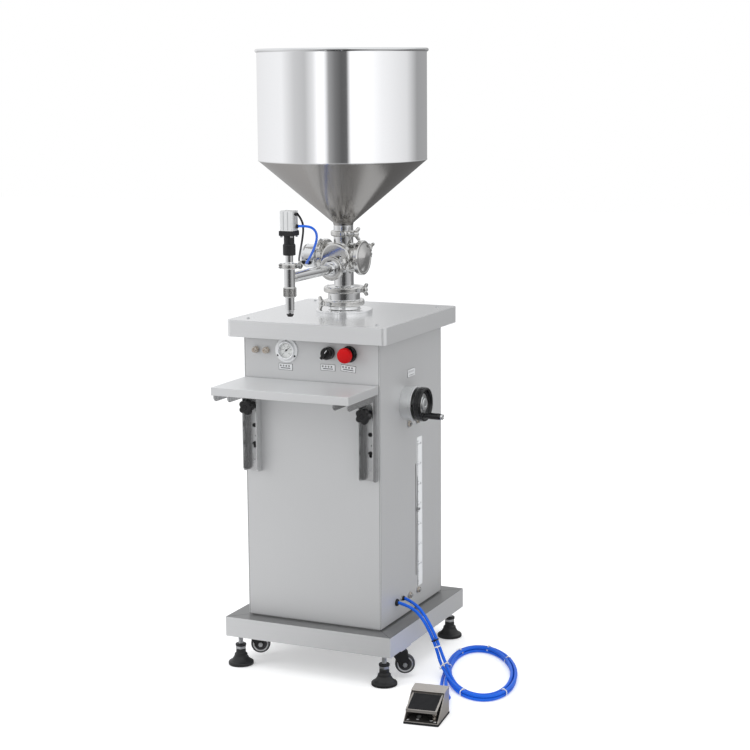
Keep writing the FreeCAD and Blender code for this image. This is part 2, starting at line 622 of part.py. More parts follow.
def stroke_carriage():
    """Nut block on the leadscrew with the stroke sensor and the pointer."""
    low = "pointer_z - 15"
    block = box("screw_x - 16", "wheel_y - 14", low, "guide_x - screw_x + 36",
                "pointer_y - wheel_y + 18", 30)
    arm = box("cross_r + 30", "wheel_y - 8", "pointer_z - 6", "screw_x - cross_r - 45", 18, 12)
    blade = box("guide_x + 18", "pointer_y - 1.5", "pointer_z - 2",
                "cab_w / 2 + 4 - guide_x - 18", 3, 4)
    finger = box("cab_w / 2 + 1.8", "pointer_y - 1.5", "pointer_z - 2.5", 2.2, 20, 5)
    holes = [cyl("screw_x", "wheel_y", low + " - 1", "screw_r + play", 32),
             cyl("guide_x", "guide_y", low + " - 1", "guide_r + play", 32)]
    node("stroke_carriage", cut(fuse(block, arm, blade, finger), *holes))


def scale_plate():
    node("scale_plate", box("cab_w / 2", "scale_y", "scale_low", 1, "scale_w",
                            "scale_high - scale_low"))


# Product cylinder, piston and air cylinder ------------------------------------------------

def product_cylinder():
    body = fuse(cyl(0, 0, "barrel_z", "bore_r + barrel_t", "table_z - barrel_z + 1"),
                cyl(0, 0, "table_z", "flange_r", "flange_t"))
    node("product_cylinder", cut(body, cyl(0, 0, "barrel_z - 1", "bore_r",
                                           "table_z - barrel_z + flange_t + 2")))


def piston():
    top = "piston_z + piston_t"
    head = cut(cyl(0, 0, "piston_z", "bore_r - play", "piston_t"),
               tube(0, 0, "piston_z + 5", "bore_r + 1", 3.5, 4),
               tube(0, 0, "%s - 9" % top, "bore_r + 1", 3.5, 4))
    rod = cyl(0, 0, "air_top - 28", "rod_r", "piston_z - air_top + 29")
    cross = cyl(0, 0, "cross_z", "cross_r", "cross_t")
    arm = box("cross_r - 6", "wheel_y - 6", "cross_z + 4", 28, 14, 12)
    web = box(0, "wheel_y + 4", "cross_z + 4", 20, 30, 12)
    disc = cyl(0, 0, "air_top - 38", "air_r - play", 14)
    node("piston", fuse(head, rod, cross, arm, web, disc))


def air_cylinder():
    low = CAB_FLOOR
    between = "air_top - (%s) - 2 * air_cap_t" % low
    barrel = tube(0, 0, low + " + air_cap_t", "air_r + air_t", "air_t", between)
    caps = [box("-air_cap / 2", "-air_cap / 2", z, "air_cap", "air_cap", "air_cap_t")
            for z in (low, "air_top - air_cap_t")]
    rods = [cyl(sx + "(air_cap / 2 - 7)", sy + "(air_cap / 2 - 7)", low + " + air_cap_t", 3,
                between) for sx, sy, name in CORNERS]
    node("air_cylinder", cut(fuse(barrel, *(caps + rods)),
                             cyl(0, 0, "air_top - 50", "rod_r + play", 60)))


def support_columns():
    parts = [cyl(sx + "column_at", sy + "column_at", CAB_FLOOR, "column_r",
                 "%s - (%s)" % (CAB_TOP, CAB_FLOOR)) for sx, sy, name in CORNERS]
    node("support_columns", group(parts))


# Product path above the table -------------------------------------------------------------

def cylinder_cover():
    """Cylinder cover with its ferrule, and the spool that stands on it."""
    z = "table_z + flange_t"
    cover = cut(fuse(cyl(0, 0, z, "flange_r", "flange_t"),
                     cyl(0, 0, z, "spool_r", "clamp_lower_z - (%s)" % z),
                     cyl(0, 0, "clamp_lower_z - ferrule_t", "ferrule_r", "ferrule_t")),
                cyl(0, 0, z + " - 1", "spool_r - spool_t", 60))
    spool = cut(fuse(cyl(0, 0, "clamp_lower_z", "spool_r", "clamp_upper_z - clamp_lower_z"),
                     cyl(0, 0, "clamp_lower_z", "ferrule_r", "ferrule_t"),
                     cyl(0, 0, "clamp_upper_z - ferrule_t", "ferrule_r", "ferrule_t")),
                cyl(0, 0, "clamp_lower_z - 1", "spool_r - spool_t", 80))
    node("cylinder_cover", group([cover, spool]))


def valve_body():
    z = "valve_z"
    outer = fuse(
        cyl("-valve_half", 0, z, "valve_r", "2 * valve_half", "X"),
        cyl(0, 0, z, "boss_r", "boss_y", "-Y"),
        cyl(0, 0, "clamp_upper_z", "ferrule_r", "ferrule_t"),
        cyl(0, 0, "clamp_upper_z", "neck_r", "hopper_clamp_z - clamp_upper_z"),
        cyl(0, 0, "hopper_clamp_z - ferrule_t", "neck_ferrule_r", "ferrule_t"),
        cyl(0, "-boss_y + 1", "outlet_z", 15, "outlet_y - boss_y + 1", "-Y"),
        cyl(0, "-outlet_y + ferrule_t", "outlet_z", "outlet_ferrule_r", "ferrule_t", "-Y"),
        cyl("-valve_half", 0, z, "side_ferrule_r", 6, "X"),
        cyl("valve_half - 6", 0, z, "side_ferrule_r", 6, "X"))
    bores = [
        cyl("-valve_half - 1", 0, z, "rotor_r", "2 * valve_half + 2", "X"),
        cyl(0, 0, "clamp_upper_z - 1", "port_r", "hopper_clamp_z - clamp_upper_z + 2"),
        cyl(0, -20, z, "rotor_r - 1", "boss_y - 26", "-Y"),
        cyl(0, -30, "outlet_z", "pipe_r - pipe_t", 50, "-Y"),
    ]
    covers = []
    for sign, axis, name in (("-", "-X", "left"), ("", "X", "right")):
        cover = fuse(cyl(sign + "valve_half", 0, z, "side_ferrule_r", 6, axis),
                     cyl(sign + "(valve_half + 5)", 0, z, 22, 9 if name == "left" else 4, axis))
        if name == "left":
            cover = cut(cover, cyl("-valve_half + 5", 0, z, "stem_r + play", 40, "-X"))
        covers.append(cover)
    node("valve_body", group([cut(outer, *bores)] + covers))


def valve_rotor():
    z = "valve_z"
    drum = cyl("-valve_half + 0.5", 0, z, "rotor_r - play", "2 * valve_half - 1", "X")
    ports = [cyl(0, 0, z + " - rotor_r - 1", "port_r", "2 * rotor_r + 2"),
             cyl(0, 0, z, "port_r", "rotor_r + 1", "Y")]
    stem = cyl("-valve_half + 1", 0, z, "stem_r", "actuator_x - valve_half + 20", "-X")
    node("valve_rotor", fuse(cut(drum, *ports), stem))


def valve_actuator():
    z = "valve_z"
    body = cyl("-actuator_x", 0, z, "actuator_r", "actuator_len", "-X")
    rim = cyl("-actuator_x - actuator_len", 0, z, "actuator_r - 4", 3, "-X")
    ports = [cyl(x, "-actuator_r + 6", z + " - 14", 5, 15, "-Y")
             for x in ("-actuator_x - 10", "-actuator_x - 27")]
    bore = cyl("-actuator_x + 1", 0, z, "stem_r + play", 23, "-X")
    node("valve_actuator", cut(fuse(body, rim, *ports), bore))


def hopper():
    shell = fuse(cyl(0, 0, "seam_z", "hopper_r", "rim_z - seam_z"),
                 cone(0, 0, "cone_z", "neck_r", "hopper_r", "seam_z - cone_z"),
                 cyl(0, 0, "hopper_clamp_z", "neck_r", "cone_z - hopper_clamp_z"),
                 cyl(0, 0, "hopper_clamp_z", "neck_ferrule_r", "ferrule_t"),
                 ring(0, 0, "rim_z", "hopper_r", "rim_r"))
    inside = [cyl(0, 0, "seam_z", "hopper_r - hopper_t", "rim_z - seam_z + 20"),
              cone(0, 0, "cone_z", "neck_r - neck_t", "hopper_r - hopper_t", "seam_z - cone_z"),
              cyl(0, 0, "hopper_clamp_z - 1", "neck_r - neck_t", "cone_z - hopper_clamp_z + 2")]
    node("hopper", cut(shell, *inside))


def outlet_pipe():
    """Pipe from the valve forward to an upright tee that carries the nozzle."""
    y = "-nozzle_y"
    bore = "pipe_r - pipe_t"
    outer = fuse(cyl(0, "-outlet_y", "outlet_z", "pipe_r", "nozzle_y - outlet_y", "-Y"),
                 cyl(0, "-outlet_y", "outlet_z", "outlet_ferrule_r", "ferrule_t", "-Y"),
                 cyl(0, y, "tee_low", "pipe_r", "nozzle_joint_z - tee_low"),
                 cyl(0, y, "nozzle_joint_z - 5", "nozzle_ferrule_r", 5),
                 cyl(0, y, "tee_low", "nut_r - 4", 6))
    node("outlet_pipe", cut(outer,
                            cyl(0, "-outlet_y + 1", "outlet_z", bore, "nozzle_y - outlet_y + 1", "-Y"),
                            cyl(0, y, "tee_low - 1", bore, "nozzle_joint_z - tee_low + 2")))


# Sanitary clamps ---------------------------------------------------------------------------

def clamp_pieces(r_out, r_seat, r_lip, height, wing):
    """Two half rings with hinge and screw lugs on +-X, and a wing nut on +X."""
    ring_body = cut(cyl(0, 0, "-(%s) / 2" % height, r_out, height),
                    cyl(0, 0, "-(%s) / 2 - 1" % height, r_lip, "(%s) + 2" % height),
                    cyl(0, 0, "-(%s) / 2 + 1.5" % height, r_seat, "(%s) - 3" % height))
    seam = box("-(%s) - 30" % r_out, -0.75, "-(%s) / 2 - 1" % height, "2 * (%s) + 60" % r_out,
               1.5, "(%s) + 2" % height)
    lug_h = "(%s) - 4" % height
    lugs = [box("%s - 2" % r_out, -6, "-(%s) / 2" % lug_h, 9, 12, lug_h),
            box("-(%s) - 7" % r_out, -6, "-(%s) / 2" % lug_h, 9, 12, lug_h)]
    keep_out = cyl(0, 0, "-(%s)" % height, r_seat, "2 * (%s)" % height)
    halves = cut(fuse(ring_body, *[cut(lug, keep_out) for lug in lugs[:1]]), seam)
    hinge = cut(lugs[1], cyl(0, 0, "-(%s)" % height, r_seat, "2 * (%s)" % height))
    pin = cyl("-(%s) - 5" % r_out, 0, "-(%s) / 2 - 1" % lug_h, 2.5, "(%s) + 2" % lug_h)
    bolt = cyl("%s + 3" % r_out, -11, 0, 2.5, "14 + %s" % wing, "Y")
    nut = cyl("%s + 3" % r_out, 6.5, 0, 5, 10, "Y")
    wings = box("%s + 1.5" % r_out, 12, "-(%s)" % wing, 3, 12, "2 * (%s)" % wing)
    head = cyl("%s + 3" % r_out, -11, 0, 4.5, 4, "Y")
    return [fuse(halves, hinge, pin, bolt, nut, wings, head)]


def tri_clamps():
    """Seven clamps, each turned the way it hangs on its joint."""
    def tilt(axis, spin):
        return TURN[axis].multiply(FreeCAD.Rotation(V(0, 0, 1), spin))
    wide = ("ferrule_r + clamp_wall", "ferrule_r + 0.3", "spool_r + 0.6", "clamp_h", "13")
    narrow = ("neck_ferrule_r + 5", "neck_ferrule_r + 0.3", "neck_r + 0.6", "clamp_h", "10")
    side = ("side_ferrule_r + 5", "side_ferrule_r + 0.3", "valve_r + 0.6", "clamp_h", "9")
    out = ("outlet_ferrule_r + 5.8", "outlet_ferrule_r + 0.3", "outlet_ferrule_r - 4", "clamp_h", "9")
    small = ("nozzle_ferrule_r + 3.5", "nozzle_ferrule_r + 0.3", "pipe_r + 0.6", "14", "8")
    parts = []
    for shape, at, rotation in (
            (wide, (0, 0, "clamp_lower_z"), tilt("Z", -125)),
            (wide, (0, 0, "clamp_upper_z"), tilt("Z", -15)),
            (narrow, (0, 0, "hopper_clamp_z"), tilt("Z", 25)),
            (side, ("valve_half", 0, "valve_z"), tilt("X", 115)),
            (side, ("-valve_half", 0, "valve_z"), tilt("X", 115)),
            (out, (0, "-outlet_y", "outlet_z"), tilt("-Y", 10)),
            (small, (0, "-nozzle_y", "nozzle_joint_z"), tilt("Z", 30))):
        parts.append(group(clamp_pieces(*shape), at, rotation))
    node("tri_clamps", group(parts))


# Nozzle ---------------------------------------------------------------------------------------

def nozzle():
    y = "-nozzle_y"
    joint = "nozzle_joint_z"
    stem = cut(fuse(cyl(0, y, joint, "nozzle_ferrule_r", 4.5),
                    cyl(0, y, joint, "nozzle_tube_r - 1.5", "stem_top - nozzle_joint_z + 4")),
               cyl(0, y, joint + " - 1", "plunger_r + play", 60))
    nut = cut(cyl(0, y, "nut_low", "nut_r", "tee_low - nut_low"),
              cyl(0, y, "nut_low - 1", "nozzle_tube_r - 2.5", 40))
    lower = cut(fuse(cyl(0, y, "collar_z", "nozzle_tube_r", "nut_low - collar_z"),
                     cyl(0, y, "tip_z", "collar_r", "collar_z - tip_z")),
                cyl(0, y, "collar_z - 5", "tip_bore_r + 0.5", 10),
                cyl(0, y, "collar_z + 2", "nozzle_tube_r - 2.5", 60),
                cyl(0, y, "tip_z - 1", "tip_bore_r + play", 40))
    node("nozzle_tube", group([stem, nut, lower]))

    adapter = fuse(cyl(0, y, "stem_top", "coupling_r", "coupling_top - stem_top"),
                   cyl(0, y, "coupling_top", "adapter_r", "plate_low - coupling_top"),
                   box("-plate_side / 2", "-nozzle_y - plate_side / 2", "plate_low",
                       "plate_side", "plate_side", "air_low - plate_low"))
    node("nozzle_adapter", cut(adapter, cyl(0, y, "stem_top - 1", "plunger_r + 1", 80),
                               cyl(0, y, "stem_top - 1", "nozzle_tube_r - 1.5 + play", 5.1)))

    tall = "air_high - air_low"
    square = box("-air_side / 2", "-nozzle_y - air_side / 2", "air_low", "air_side", "air_side", tall)
    turned = box(0, "-nozzle_y - (air_side - air_chamfer)", "air_low",
                 "(air_side - air_chamfer) * sqrt(2)", "(air_side - air_chamfer) * sqrt(2)", tall,
                 FreeCAD.Rotation(V(0, 0, 1), 45))
    ports = [cyl("air_side / 2 - 1", y, "air_high - 8", 4, 8, "X"),
             cyl("air_side / 2 - 1", y, "air_high - 36", 5, 8, "X")]
    node("nozzle_cylinder", cut(fuse(common(square, turned), *ports),
                                cyl(0, y, "air_low - 1", "nozzle_bore_r", "air_high - air_low - 7")))

    plunger = fuse(cyl(0, y, "plug_low + 3", "plunger_r", "air_low - plug_low + 12"),
                   cyl(0, y, "plug_low", "tip_bore_r", 7),
                   cyl(0, y, "air_low + 8", "nozzle_bore_r - play", 8))
    node("nozzle_plunger", plunger)


# Foot valve -------------------------------------------------------------------------------------

PEDAL_TURN = FreeCAD.Rotation(V(0, 0, 1), SIZES["pedal_turn"])
PEDAL_AT = ("pedal_x", "pedal_y", 0)
HALF_W = "pedal_w / 2"
HALF_D = "pedal_d / 2"


def foot_valve():
    front = "-pedal_d / 2"
    node("foot_mat", group([box("-pedal_w / 2 - 1", front + " - 1", 0, "pedal_w + 2",
                                "pedal_d + 2", "mat_t")], PEDAL_AT, PEDAL_TURN))

    # The side plates slope down from the hood, which rises a little to the back.
    tall = "pedal_h - mat_t"
    back_to_front = FreeCAD.Rotation(V(1, 0, 0), SIZES["side_slope"]).multiply(
        FreeCAD.Rotation(V(0, 0, 1), 180))
    rise = FreeCAD.Rotation(V(1, 0, 0), 9)
    slope = box("pedal_w", "hood_front", "pedal_h - 4.5", "2 * pedal_w", 120, 90, back_to_front)
    lids = [box("-pedal_w", "hood_front - 29.63", z, "2 * pedal_w", 120, 40, rise)
            for z in ("pedal_h - 9.2", "pedal_h - 9.2 - shell_t")]
    outer = cut(box("-pedal_w / 2", front, "mat_t", "pedal_w", "pedal_d", tall), slope, lids[0])
    inner = cut(box("-pedal_w / 2 + shell_t", front + " - 1", "mat_t + shell_t",
                    "pedal_w - 2 * shell_t", "pedal_d + 1 - shell_t", tall), lids[1])
    exits = [cyl("push_x + (%d - 0.5) * push_step" % i, "pedal_d / 2 - shell_t - 1", "push_z",
                 "push_r + play", "shell_t + 2", "Y") for i in range(2)]
    shell = cut(outer, inner, *exits)
    pins = [cyl("-pedal_w / 2 + 1", "pedal_pivot_y", "pedal_pivot_z", 2, "pedal_w - 2", "X")]
    node("foot_housing", group([fuse(shell, *pins)], PEDAL_AT, PEDAL_TURN))

    block = box("push_x - valve_block_w / 2", -4, "mat_t + shell_t", "valve_block_w",
                "pedal_d / 2 + 1", 28)
    push = [cyl("push_x + (%d - 0.5) * push_step" % i, "pedal_d / 2 - shell_t - 1", "push_z",
                "push_r", "push_y - pedal_d / 2 + shell_t + 1", "Y") for i in range(2)]
    button = cyl("push_x - 8", 2, "mat_t + shell_t + 27", 5, 5)
    node("foot_air_valve", group([fuse(block, button, *push)], PEDAL_AT, PEDAL_TURN))


def pedal():
    """The tread plate hangs from the pivot and slopes down to the front."""
    tilt = FreeCAD.Rotation(V(1, 0, 0), SIZES["pedal_slope"])
    half = "pedal_plate_w / 2"
    plate = box("-" + half, "-pedal_plate_l - 2", 2.6, "pedal_plate_w", "pedal_plate_l", 2)
    lip = box("-" + half, "-pedal_plate_l - 2", "-2", "pedal_plate_w", 2, 5)
    ears = []
    for x in ("-" + half, half + " - 3"):
        ears.append(box(x, -14, -4, 3, 18, 7.5))
    holes = cyl("-pedal_w", 0, 0, "2 + play", "2 * pedal_w", "X")
    tread = group([cut(fuse(plate, lip, *ears), holes)],
                  (0, "pedal_pivot_y", "pedal_pivot_z"), tilt)
    node("pedal", group([tread], PEDAL_AT, PEDAL_TURN))
    pad = group([box("-%s + 4" % half, "-pedal_plate_l + 1", 4.6, "pedal_plate_w - 8",
                     "pedal_plate_l - 10", 2.5)], (0, "pedal_pivot_y", "pedal_pivot_z"), tilt)
    node("pedal_pad", group([pad], PEDAL_AT, PEDAL_TURN))


# Hoses --------------------------------------------------------------------------------------------

def route_tube(name, points, diameter):
    """A round tube along straight runs joined by tangent arcs."""
    pts = [V(*p) for p in points]
    edges = []
    start = pts[0]
    length = 0.0
    tightest = 1e9
    for i in range(1, len(pts) - 1):
        into = (pts[i] - pts[i - 1])
        away = (pts[i + 1] - pts[i])
        short = min(into.Length, away.Length)
        turn = into.getAngle(away)
        cut_back = 0.45 * short
        radius = cut_back / math.tan(turn / 2)
        tightest = min(tightest, radius)
        u = V(into).normalize()
        w = V(away).normalize()
        a = pts[i] - u * cut_back
        b = pts[i] + w * cut_back
        to_middle = (w - u).normalize()
        centre_far = radius / math.cos(turn / 2)
        centre = pts[i] + to_middle * centre_far
        middle = centre - to_middle * radius
        edges.append(Part.LineSegment(start, a).toShape())
        edges.append(Part.Arc(a, middle, b).toShape())
        length += (a - start).Length + radius * turn
        start = b
    edges.append(Part.LineSegment(start, pts[-1]).toShape())
    length += (pts[-1] - start).Length
    wire = Part.Wire(edges)
    section = Part.Wire([Part.makeCircle(diameter / 2, pts[0], pts[1] - pts[0])])
    shape = wire.makePipeShell([section], True, True)
    expected = math.pi * diameter ** 2 / 4 * length
    print("%s: length %.0f, tightest radius %.0f, volume %.4f of section x length"
          % (name, length, tightest, shape.Volume / expected))
    if abs(shape.Volume / expected - 1) > 0.01:
        raise RuntimeError(name + " has the wrong volume")
    return shape


def tube_feature(shapes, name):
    obj = doc.addObject("Part::Feature", "Hose")
    obj.Shape = shapes[0] if len(shapes) == 1 else Part.makeCompound(shapes)
    obj.Placement = FreeCAD.Placement()
    return node(name, obj)


# The foot valve's two hoses: the drop from the cabinet, and the tail into the valve.
DROP_A = [(188, -98, 175), (226, -97, 168), (254, -94, 138), (274, -91, 100),
          (288, -89, 62), (299, -93, 30), (309, -106, 10)]
DROP_B = [(192, -67, 178), (229, -82, 172.5), (260, -90, 143), (281, -88.5, 104),
          (295.5, -86.5, 66), (307.5, -88, 38), (319, -99, 21.5)]
TAIL_A = [(311, -113, 4.5), (326, -153, 4.6), (348, -202, 5.5), (368, -246, 8),
          (386.9, -286, 20), (391.6, -321.7, 24)]
TAIL_B = [(322, -119, 21.5), (339, -158, 15), (361, -204, 6), (384, -248, 8),
          (402.8, -285, 20), (407.5, -319.8, 24)]
# The nozzle cylinder's air hose and its sensor cable, down to the valve actuator.
NOZZLE_HOSE = [(24, -294, 1121), (37, -276, 1121), (43, -247, 1112), (33, -211, 1091),
               (6, -172, 1061), (-27, -128, 1035), (-56, -90, 1015), (-75, -61, 1007),
               (-80, -39, 1006)]
NOZZLE_CABLE = [(24, -294, 1149), (30, -283, 1134), (26, -270, 1111), (12, -250, 1084),
                (-8, -220, 1059), (-32, -179, 1040), (-56, -135, 1026), (-77, -94, 1016),
                (-91, -61, 1009), (-97, -39, 1006)]


def hoses():
    d = size("hose_d")
    for name, drop, tail in (("hose_a", DROP_A, TAIL_A), ("hose_b", DROP_B, TAIL_B)):
        tube_feature([route_tube(name + " drop", drop, d), route_tube(name + " tail", tail, d)],
                     name)
    tube_feature([route_tube("nozzle_hose", NOZZLE_HOSE, 6)], "nozzle_hose")
    tube_feature([route_tube("nozzle_cable", NOZZLE_CABLE, 5)], "nozzle_cable")


# The loop on the floor: an oval two hoses wide and two high.
LOOP_CENTRE = (390, -52)
LOOP_LONG = 187
LOOP_SHORT = 82
LOOP_TURN = 113.6
LOOP_W = 17
LOOP_H = 16.5


def hose_loop():
    def oval(long_r, short_r):
        ellipse = Part.Ellipse(V(0, 0, 0), long_r, short_r)
        face = Part.Face(Part.Wire([ellipse.toShape()]))
        return face.extrude(V(0, 0, LOOP_H))
    shape = oval(LOOP_LONG + LOOP_W / 2, LOOP_SHORT + LOOP_W / 2).cut(
        oval(LOOP_LONG - LOOP_W / 2, LOOP_SHORT - LOOP_W / 2))
    obj = doc.addObject("Part::Feature", "Loop")
    obj.Shape = shape
    obj.Placement = FreeCAD.Placement(V(LOOP_CENTRE[0], LOOP_CENTRE[1], 0),
                                      FreeCAD.Rotation(V(0, 0, 1), LOOP_TURN))
    node("hose_loop", obj)


def hose_ties():
    """Flat bands round the pair of hoses and round the loop."""
    parts = []
    for i, share in ((3, 0.35), (3, 0.85)):
        a = V(*DROP_A[i]) + (V(*DROP_A[i + 1]) - V(*DROP_A[i])) * share
        b = V(*DROP_B[i]) + (V(*DROP_B[i + 1]) - V(*DROP_B[i])) * share
        along = (V(*DROP_A[i + 1]) - V(*DROP_A[i])).normalize()
        across = (b - a).normalize()
        frame = FreeCAD.Rotation(across, V(), along, "ZXY")
        band = cut(box(-9.8, -5.6, -2, 19.6, 11.2, 4), box(-8.8, -4.6, -3, 17.6, 9.2, 6))
        parts.append(group([band], tuple((a + b) * 0.5), frame))
    for t in (-62, -20, 35, 80, 145, 215):
        a = math.radians(t)
        x = LOOP_LONG * math.cos(a)
        y = LOOP_SHORT * math.sin(a)
        heading = math.degrees(math.atan2(LOOP_SHORT * math.cos(a), -LOOP_LONG * math.sin(a)))
        turn = math.radians(LOOP_TURN)
        at = (LOOP_CENTRE[0] + x * math.cos(turn) - y * math.sin(turn),
              LOOP_CENTRE[1] + x * math.sin(turn) + y * math.cos(turn), 0)
        band = cut(box(-2, -10.2, 0, 4, 20.4, 18.2), box(-3, -9.4, -1, 6, 18.8, 18.2))
        parts.append(group([band], at, FreeCAD.Rotation(V(0, 0, 1), heading + LOOP_TURN)))
    node("hose_ties", group(parts))


# Build, check and write ----------------------------------------------------------------------------

for build in (base_frame, levelling_feet, casters, cabinet_shell, rear_panel, table_top, screws,
              shelf_tray, shelf_brackets, shelf_knobs, gauge, switches, panel_fittings,
              wheel_collar, handwheel, leadscrew, adjust_bracket, stroke_carriage, scale_plate,
              product_cylinder, piston, air_cylinder, support_columns, cylinder_cover,
              valve_body, valve_rotor, valve_actuator, hopper, outlet_pipe, tri_clamps, nozzle,
              foot_valve, pedal, hoses, hose_loop, hose_ties):
    build()
doc.recompute()

for obj in doc.Objects:
    if "Invalid" in obj.State or "Error" in obj.State:
        raise RuntimeError("%s (%s) failed: %s" % (obj.Label, obj.Name, obj.State))
for name, obj in NODES.items():
    if obj.Shape.isNull() or not obj.Shape.isValid() or not obj.Shape.Solids:
        raise RuntimeError(name + " has no valid solid")

os.makedirs("parts", exist_ok=True)
for name, obj in NODES.items():
    obj.Shape.exportStep("parts/%s.step" % name)
print("%d nodes written" % len(NODES))
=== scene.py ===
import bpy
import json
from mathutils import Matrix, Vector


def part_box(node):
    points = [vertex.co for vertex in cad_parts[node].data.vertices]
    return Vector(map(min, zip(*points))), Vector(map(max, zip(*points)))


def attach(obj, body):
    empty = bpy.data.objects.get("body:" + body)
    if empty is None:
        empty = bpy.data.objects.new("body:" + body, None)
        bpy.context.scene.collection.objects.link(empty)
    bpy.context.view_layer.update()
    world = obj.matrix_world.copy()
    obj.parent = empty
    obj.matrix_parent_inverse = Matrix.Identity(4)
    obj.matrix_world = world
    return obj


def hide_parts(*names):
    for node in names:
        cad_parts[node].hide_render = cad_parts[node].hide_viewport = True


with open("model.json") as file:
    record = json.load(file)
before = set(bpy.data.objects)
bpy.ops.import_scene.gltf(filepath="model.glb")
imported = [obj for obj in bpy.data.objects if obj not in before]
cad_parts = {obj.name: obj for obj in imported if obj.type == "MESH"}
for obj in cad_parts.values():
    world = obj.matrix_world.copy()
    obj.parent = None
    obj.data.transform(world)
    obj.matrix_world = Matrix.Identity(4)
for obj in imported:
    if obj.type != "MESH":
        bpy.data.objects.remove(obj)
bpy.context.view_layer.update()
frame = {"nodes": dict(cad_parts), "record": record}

import json
import math

import bmesh
import bpy
from bpy.props import FloatProperty, FloatVectorProperty, IntProperty, PointerProperty
from mathutils import Matrix, Vector

bl_info = {"name": "Piston liquid filler", "version": (1, 0, 0), "blender": (4, 5, 0),
    "location": "3D View > Sidebar > Filler",
    "description": "Builds the visible pieces of a piston liquid filler around its CAD frame",
    "category": "Object",}

MM = 0.001
VALVE_Z, OUTLET_Z = 1020, 998  # heights of the valve's axis and of its outlet, in millimetres
NOZZLE_Y = -294.0  # the nozzle stands this far in front of the valve
KNOB_Z = 667.0  # height of the star knobs' studs
WHEEL_Y, WHEEL_Z = -34.0, 668.0  # the handwheel's axis
X, Y, Z = Vector((1, 0, 0)), Vector((0, 1, 0)), Vector((0, 0, 1))


def span(node):
    """Lowest and highest corner of a CAD node, in millimetres."""
    low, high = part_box(node)
    return low / MM, high / MM


# Settings --------------------------------------------------------------------------------


class FinishSettings(bpy.types.PropertyGroup):
    """Colours of the machine's finishes."""

    sheet: FloatVectorProperty(name="Sheet steel",
        description="Brushed sheet of cabinet, table, shelf and base", subtype="COLOR",
        default=(0.90, 0.905, 0.91))
    polished: FloatVectorProperty(name="Polished steel",
        description="Hopper, pipes, clamps and flanges", subtype="COLOR",
        default=(0.86, 0.865, 0.87))
    hose: FloatVectorProperty(name="Air hose", description="Blue polyurethane hose",
        subtype="COLOR", default=(0.004, 0.125, 0.72))
    stop: FloatVectorProperty(name="Stop button", description="Red mushroom head", subtype="COLOR",
        default=(0.52, 0.0, 0.002))
    grain: FloatProperty(name="Grain depth", description="Depth of the brushed grain in the sheet",
        default=0.05, min=0.0, max=1.0)


class CameraSettings(bpy.types.PropertyGroup):
    """Where the picture is taken from."""

    place: FloatVectorProperty(name="Place", description="Camera position", subtype="TRANSLATION",
        unit="LENGTH", default=(1.95243, -4.04970, 1.47937))
    heading: FloatProperty(name="Heading",
        description="Turn of the view to the left of straight back", subtype="ANGLE",
        default=math.radians(24.772))
    dip: FloatProperty(name="Dip", description="How far the view points down", subtype="ANGLE",
        default=math.radians(9.584))
    roll: FloatProperty(name="Roll", description="Turn about the line of sight", subtype="ANGLE",
        default=math.radians(-0.4327))
    lens: FloatProperty(name="Lens", description="Focal length on a 36 mm sensor",
        subtype="DISTANCE_CAMERA", default=86.66, min=10.0)


class HoseSettings(bpy.types.PropertyGroup):
    """Sizes of the hoses and of their loop on the floor."""

    radius: FloatProperty(name="Hose radius", description="Radius of the foot valve's air hoses",
        subtype="DISTANCE", default=4.0 * MM)
    long_radius: FloatProperty(name="Loop length",
        description="Long half-axis of the loop on the floor", subtype="DISTANCE", default=187 * MM)
    short_radius: FloatProperty(name="Loop width",
        description="Short half-axis of the loop on the floor", subtype="DISTANCE", default=82 * MM)
    points: IntProperty(name="Points a turn", description="Control points in one turn of the loop",
        default=16, min=12)


# Finishes --------------------------------------------------------------------------------


def new_group(name, inputs, outputs):
    """An empty shader group with float, vector or colour sockets."""
    kinds = {"f": "NodeSocketFloat", "v": "NodeSocketVector", "c": "NodeSocketColor"}
    group = bpy.data.node_groups.new(name, "ShaderNodeTree")
    for title, kind, default in inputs:
        socket = group.interface.new_socket(title, in_out="INPUT", socket_type=kinds[kind])
        if default is not None:
            socket.default_value = default
    for title, kind in outputs:
        group.interface.new_socket(title, in_out="OUTPUT", socket_type=kinds[kind])
    return group, group.nodes.new("NodeGroupInput"), group.nodes.new("NodeGroupOutput")


def put(tree, kind, inputs=None, **settings):
    """Adds a node to a tree; an input is a value, or the socket that feeds it."""
    node = tree.nodes.new(kind)
    for name, value in settings.items():
        setattr(node, name, value)
    for key, value in (inputs or {}).items():
        if isinstance(value, bpy.types.NodeSocket):
            tree.links.new(value, node.inputs[key])
        else:
            node.inputs[key].default_value = value
    return node


def grain_group():
    """Stretched noise: fine grain one way, with slow clouds over it."""
    group, given, result = new_group("Grain and clouds", [("Vector", "v", None),
        ("Stretch", "v", (1, 1, 1)), ("Scale", "f", 400.0), ("Clouds", "f", 4.0)],
        [("Grain", "f"), ("Cloud", "f"), ("Both", "f")])
    where = given.outputs["Vector"]
    stretch = put(group, "ShaderNodeVectorMath", {0: where, 1: given.outputs["Stretch"]},
        operation="MULTIPLY")
    fine = put(group, "ShaderNodeTexNoise", {"Vector": stretch.outputs[0],
        "Scale": given.outputs["Scale"], "Detail": 3.0})
    slow = put(group, "ShaderNodeTexNoise", {"Vector": where, "Scale": given.outputs["Clouds"],
        "Detail": 2.0})
    part = put(group, "ShaderNodeMath", {0: slow.outputs["Fac"], 1: 0.45}, operation="MULTIPLY")
    both = put(group, "ShaderNodeMath", {0: fine.outputs["Fac"], 1: 0.55, 2: part.outputs[0]},
        operation="MULTIPLY_ADD")
    for socket, name in ((fine.outputs["Fac"], "Grain"), (slow.outputs["Fac"], "Cloud"),
            (both.outputs[0], "Both")):
        group.links.new(socket, result.inputs[name])
    return group


